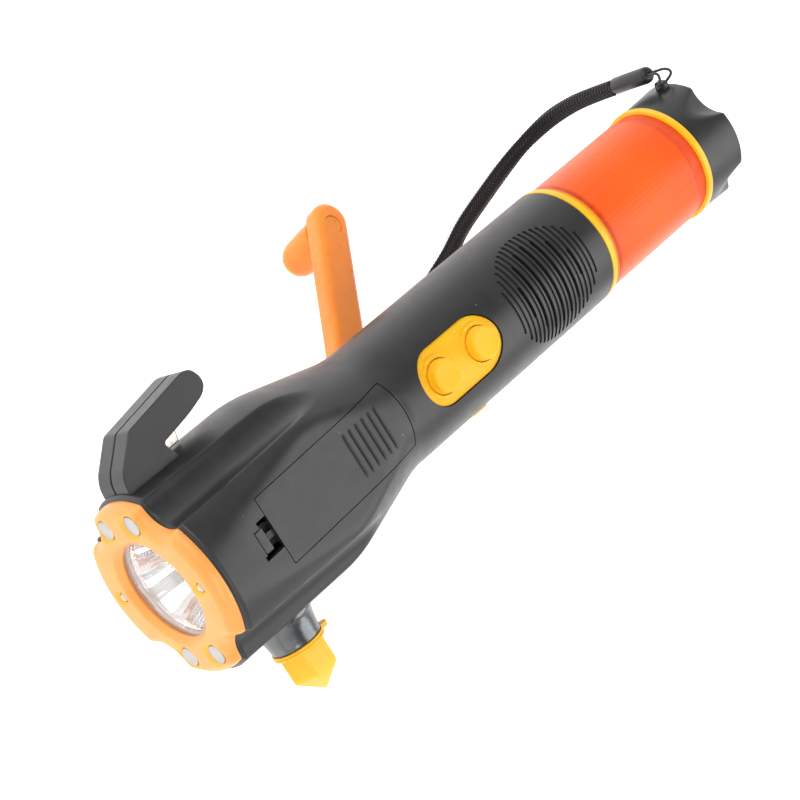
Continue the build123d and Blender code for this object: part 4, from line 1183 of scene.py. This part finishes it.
kp = [(-16.6, 0), (-16.6, 1.56), (-3.8, 1.56), (-3.8, 5.2), (-3.95, 5.55), (-4.3, 5.85), (-4.8, 6.0), (-8.0, 6.15), (-15.0, 6.0), (-16.2, 5.82), (-17.3, 5.5), (-18.3, 5.0), (-19.1, 4.4), (-19.8, 3.5),
      (-20.2, 2.5), (-20.45, 1.2), (-20.5, 0)]
knob = lathe("v_crank_knob", kp, "Z", (S_KNOB, 0, 0), 96)
xf(knob, FOOT, AA, YY, ZZ)
finish(knob, M["crank"], "knob", "crank_knob", angle=40)

# ------------------------------------------------------------------ port plug
plug = layered("v_port_plug", corner_round([(90.0, -6.1), (119.5, -6.1), (119.5, 5.9), (90.0, 5.9)], [1.5] * 4), [(-25.0, 0.0), (-10.0, 0.0)], "Y")
plug = boolean(plug, lathe("plugout", [(80, 0), (80, 20.1), (111.5, 20.1), (112.5, 20.2), (114.0, 20.43), (130, 20.43), (130, 0)], "X", (0, 0, 0), 360), "INTERSECT")
plug = boolean(plug, lathe("plugin", [(80, 0), (80, 18.9), (130, 18.9), (130, 0)], "X", (0, 0, 0), 360))
plug = bevel(plug, 0.35, 3, 50)
finish(plug, M["rubber"], "plug", "port_plug")

# ------------------------------------------------------------------ strap
STRING = [(239.8, 25.6, -5.0), (239.8, 25.6, 4.4), (239.5, 25.2, 8.2), (238.4, 22.6, 8.4), (238.7, 20.8, 4.9), (241.7, 20.443, 4.345),
          (244.7, 20.8, 4.9), (245.0, 22.7, 8.2), (242.6, 25.2, 9.0), (241.4, 25.6, 4.6), (241.4, 25.6, -5.0)]
BAND = [(239.2, 25.6, -13.4), (239.2, 25.6, -24.0), (238.6, 25.0, -35.0), (236.2, 23.2, -46.5), (230.6, 20.4, -55.2), (221.0, 17.6, -58.9),
        (208.0, 14.4, -59.4), (194.0, 11.0, -59.5), (184.0, 6.6, -59.6), (174.4, 3.4, -60.6), (165.6, 0.2, -62.0), (159.0, -6.2, -62.9),
        (157.4, -15.2, -62.9), (161.8, -23.2, -62.9), (170.4, -25.6, -62.9), (178.0, -20.8, -62.9), (181.6, -11.8, -62.9), (184.4, -2.2, -62.9),
        (188.2, 6.0, -62.95), (196.2, 9.6, -62.9), (209.4, 12.8, -62.9), (223.2, 16.4, -62.0), (233.8, 20.2, -57.4), (239.6, 23.8, -47.8),
        (242.3, 25.2, -36.2), (242.0, 25.6, -24.6), (242.0, 25.6, -13.4)]


def nurbs(name, pts, res=10, bevel_d=0.0):
    cu = bpy.data.curves.new(name, "CURVE")
    cu.dimensions = "3D"
    sp = cu.splines.new("NURBS")
    sp.points.add(len(pts) - 1)
    for p, q in zip(sp.points, pts):
        p.co = (q[0] * MM, q[1] * MM, q[2] * MM, 1.0)
    sp.order_u = 3
    sp.use_endpoint_u = True
    cu.resolution_u = res
    cu.bevel_depth = bevel_d
    cu.bevel_resolution = 6
    cu.use_fill_caps = bevel_d > 0
    ob = bpy.data.objects.new(name, cu)
    scene.collection.objects.link(ob)
    return ob


def spline_points(pts, res):
    ob = nurbs("probe", pts, res)
    dg = bpy.context.evaluated_depsgraph_get()
    dg.update()
    me = bpy.data.meshes.new_from_object(ob.evaluated_get(dg), depsgraph=dg)
    co = [Vector(v.co) / MM for v in me.vertices]
    cu = ob.data
    bpy.data.objects.remove(ob)
    bpy.data.curves.remove(cu)
    bpy.data.meshes.remove(me)
    return co


string = nurbs("v_string", STRING, 16, 0.00045)
string.data.materials.append(M["string"])
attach(string, "casing")
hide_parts("strap_string")

# flat braid: strands weave across the band's width
route = spline_points(BAND, 26)
R = np.array([list(p) for p in route])
seg = np.linalg.norm(np.diff(R, axis=0), axis=1)
S = np.concatenate([[0], np.cumsum(seg)])
total = S[-1]
step = 0.42
ss = np.arange(0, total, step)
C = np.stack([np.interp(ss, S, R[:, k]) for k in range(3)], 1)
for _ in range(6):
    C[1:-1] = 0.25 * C[:-2] + 0.5 * C[1:-1] + 0.25 * C[2:]
T = np.gradient(C, axis=0)
T /= np.linalg.norm(T, axis=1)[:, None]
# the band's width direction: across at the bead, level with the floor where it lies
Wd = np.zeros_like(C)
n0 = np.array([0.0, 1.0, 0.0])
for i in range(len(C)):
    down = min(1.0, max(0.0, (-C[i, 2] - 50.0) / 8.0))
    flat = np.cross(T[i], np.array([0, 0, 1.0]))
    if np.linalg.norm(flat) < 0.2:
        flat = n0
    flat = flat / np.linalg.norm(flat)
    if flat @ n0 < 0:
        flat = -flat
    up_ = n0 - (n0 @ T[i]) * T[i]
    up_ /= np.linalg.norm(up_)
    w_ = up_ * (1 - down) + flat * down
    w_ -= (w_ @ T[i]) * T[i]
    n0 = w_ / np.linalg.norm(w_)
    Wd[i] = n0
for _ in range(40):
    Wd[1:-1] = 0.25 * Wd[:-2] + 0.5 * Wd[1:-1] + 0.25 * Wd[2:]
Wd -= (np.sum(Wd * T, axis=1))[:, None] * T
Wd /= np.linalg.norm(Wd, axis=1)[:, None]
Nd = np.cross(T, Wd)
W2, PITCH, NY, YR = 1.95, 11.0, 8, 0.62
vs, fs = [], []
ns = 8
for q in range(NY):
    ph_ = 2 * pi * q / NY
    t_ = 2 * pi * ss / PITCH + ph_
    lat = W2 * np.sin(t_)
    hgt = 0.42 * np.sin(2 * t_ + (0.0))
    P = C + Wd * lat[:, None] + Nd * hgt[:, None]
    tg = np.gradient(P, axis=0)
    tg /= np.linalg.norm(tg, axis=1)[:, None]
    bn = np.cross(tg, Wd)
    bn /= np.linalg.norm(bn, axis=1)[:, None]
    wn = np.cross(bn, tg)
    off = len(vs)
    for i in range(len(P)):
        for k in range(ns):
            a = 2 * pi * k / ns
            p = P[i] + wn[i] * (YR * 1.15 * cos(a)) + bn[i] * (YR * 0.8 * sin(a))
            vs.append(tuple(p))
    m_ = len(P)
    for i in range(m_ - 1):
        for k in range(ns):
            k2 = (k + 1) % ns
            fs.append((off + i * ns + k, off + i * ns + k2, off + (i + 1) * ns + k2, off + (i + 1) * ns + k))
    fs.append(tuple(off + k for k in range(ns))[::-1])
    fs.append(tuple(off + (m_ - 1) * ns + k for k in range(ns)))
band = outward(make("v_band", vs, fs))
band.data.materials.append(M["strap"])
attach(band, "casing")
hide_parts("wrist_strap")

bp = [(-13.4, 0), (-13.4, 1.9), (-13.3, 2.25), (-13.0, 2.6), (-12.6, 2.74), (-8.0, 2.75), (1.6, 2.75), (2.4, 2.6), (2.95, 2.25), (3.3, 1.7), (3.4, 1.0), (3.4, 0)]
bead = lathe("v_bead", bp, "Z", (240.6, 25.6, 0), 64)
bead = boolean(bead, prism("beadhole", stadium_pts(240.6 - 1.55, 240.6 + 1.55, 0.72, 12, 25.6), -5.2, 6.0))
finish(bead, M["bead"], "casing", "strap_bead")

# ------------------------------------------------------------------ carried-over nodes
own = {"casing_screws": "steel", "lens_seal": "white", "led_board": "ledboard", "hammer_tip": "steel", "hammer_nut": "steel",
       "battery_tray": "inner", "battery_cells": "cell", "tray_contacts": "brass", "charge_pack": "cell", "charge_socket": "steel",
       "tact_switches": "steel", "main_board": "board", "speaker": "inner", "speaker_ring": "inner", "crank_bush": "brass", "idler_pin": "steel",
       "gearbox_base": "white", "gearbox_top": "white", "stator_coil": "copper", "stator_core": "steel", "beacon_core": "white",
       "beacon_board": "board", "beacon_leds": "led", "crank_shaft": "steel", "crank_gear": "white", "arm_pin": "steel",
       "idler_gear": "white", "rotor_pinion": "white", "rotor_shaft": "steel", "rotor_magnet": "inner"}
for nd, mk in own.items():
    ob = bpy.data.objects.get(nd)
    if ob is None:
        print("no object for", nd)
        continue
    ob.data.materials.clear()
    ob.data.materials.append(M[mk])

# ------------------------------------------------------------------ floor, light
z_f = -64.4 * MM
fm, nt, bs = new_mat("floor_white")
v = coords(nt)
nt.links.new(ramp(nt, noise_node(nt, v, 3.0), [(0.3, (0.93, 0.93, 0.93)), (0.7, (0.95, 0.95, 0.95))]), bs.inputs["Base Color"])
bs.inputs["Roughness"].default_value = 0.6
bs.inputs["Specular IOR Level"].default_value = 0.2
bs.inputs["Emission Color"].default_value = (1, 1, 1, 1)
bs.inputs["Emission Strength"].default_value = 0.6
me = bpy.data.meshes.new("floor")
s_ = 6.0
me.from_pydata([(-s_, -s_, z_f), (s_, -s_, z_f), (s_, s_, z_f), (-s_, s_, z_f)], [], [(0, 1, 2, 3)])
floor = bpy.data.objects.new("floor", me)
scene.collection.objects.link(floor)
me.materials.append(fm)

world = bpy.data.worlds.new("studio")
scene.world = world
world.use_nodes = True
bg = world.node_tree.nodes["Background"]
wn = world.node_tree
wtc = wn.nodes.new("ShaderNodeTexCoord")
wsep = wn.nodes.new("ShaderNodeSeparateXYZ")
wn.links.new(wtc.outputs["Generated"], wsep.inputs[0])
wn.links.new(ramp(wn, wsep.outputs[2], [(0.0, (1.0, 1.0, 1.0)), (0.32, (0.95, 0.95, 0.95)), (0.62, (0.42, 0.42, 0.42)), (1.0, (0.32, 0.32, 0.32))]), bg.inputs["Color"])
bg.inputs["Strength"].default_value = 1.0


def area(name, loc, target, size, power, size_y=None):
    la_ = bpy.data.lights.new(name, "AREA")
    la_.energy = power
    la_.shape = "RECTANGLE"
    la_.size = size
    la_.size_y = size_y or size
    ob = bpy.data.objects.new(name, la_)
    scene.collection.objects.link(ob)
    loc, target = Vector(loc), Vector(target)
    ob.rotation_mode = "QUATERNION"
    ob.rotation_quaternion = (target - loc).to_track_quat("-Z", "Y")
    ob.location = loc
    return ob


mid = (0.12, 0.0, 0.0)
area("key", (-0.25, 0.75, 0.75), mid, 0.7, 4.4)
area("fill", (-0.55, -0.75, 0.45), mid, 0.9, 1.5)
area("box", (0.78, -0.54, 0.84), mid, 1.0, 8.0)
area("strip", (-0.42, -0.30, 0.92), mid, 0.16, 2.6, 0.6)
scene.view_settings.view_transform = "Standard"
scene.view_settings.look = "None"
scene.view_settings.exposure = 0.0
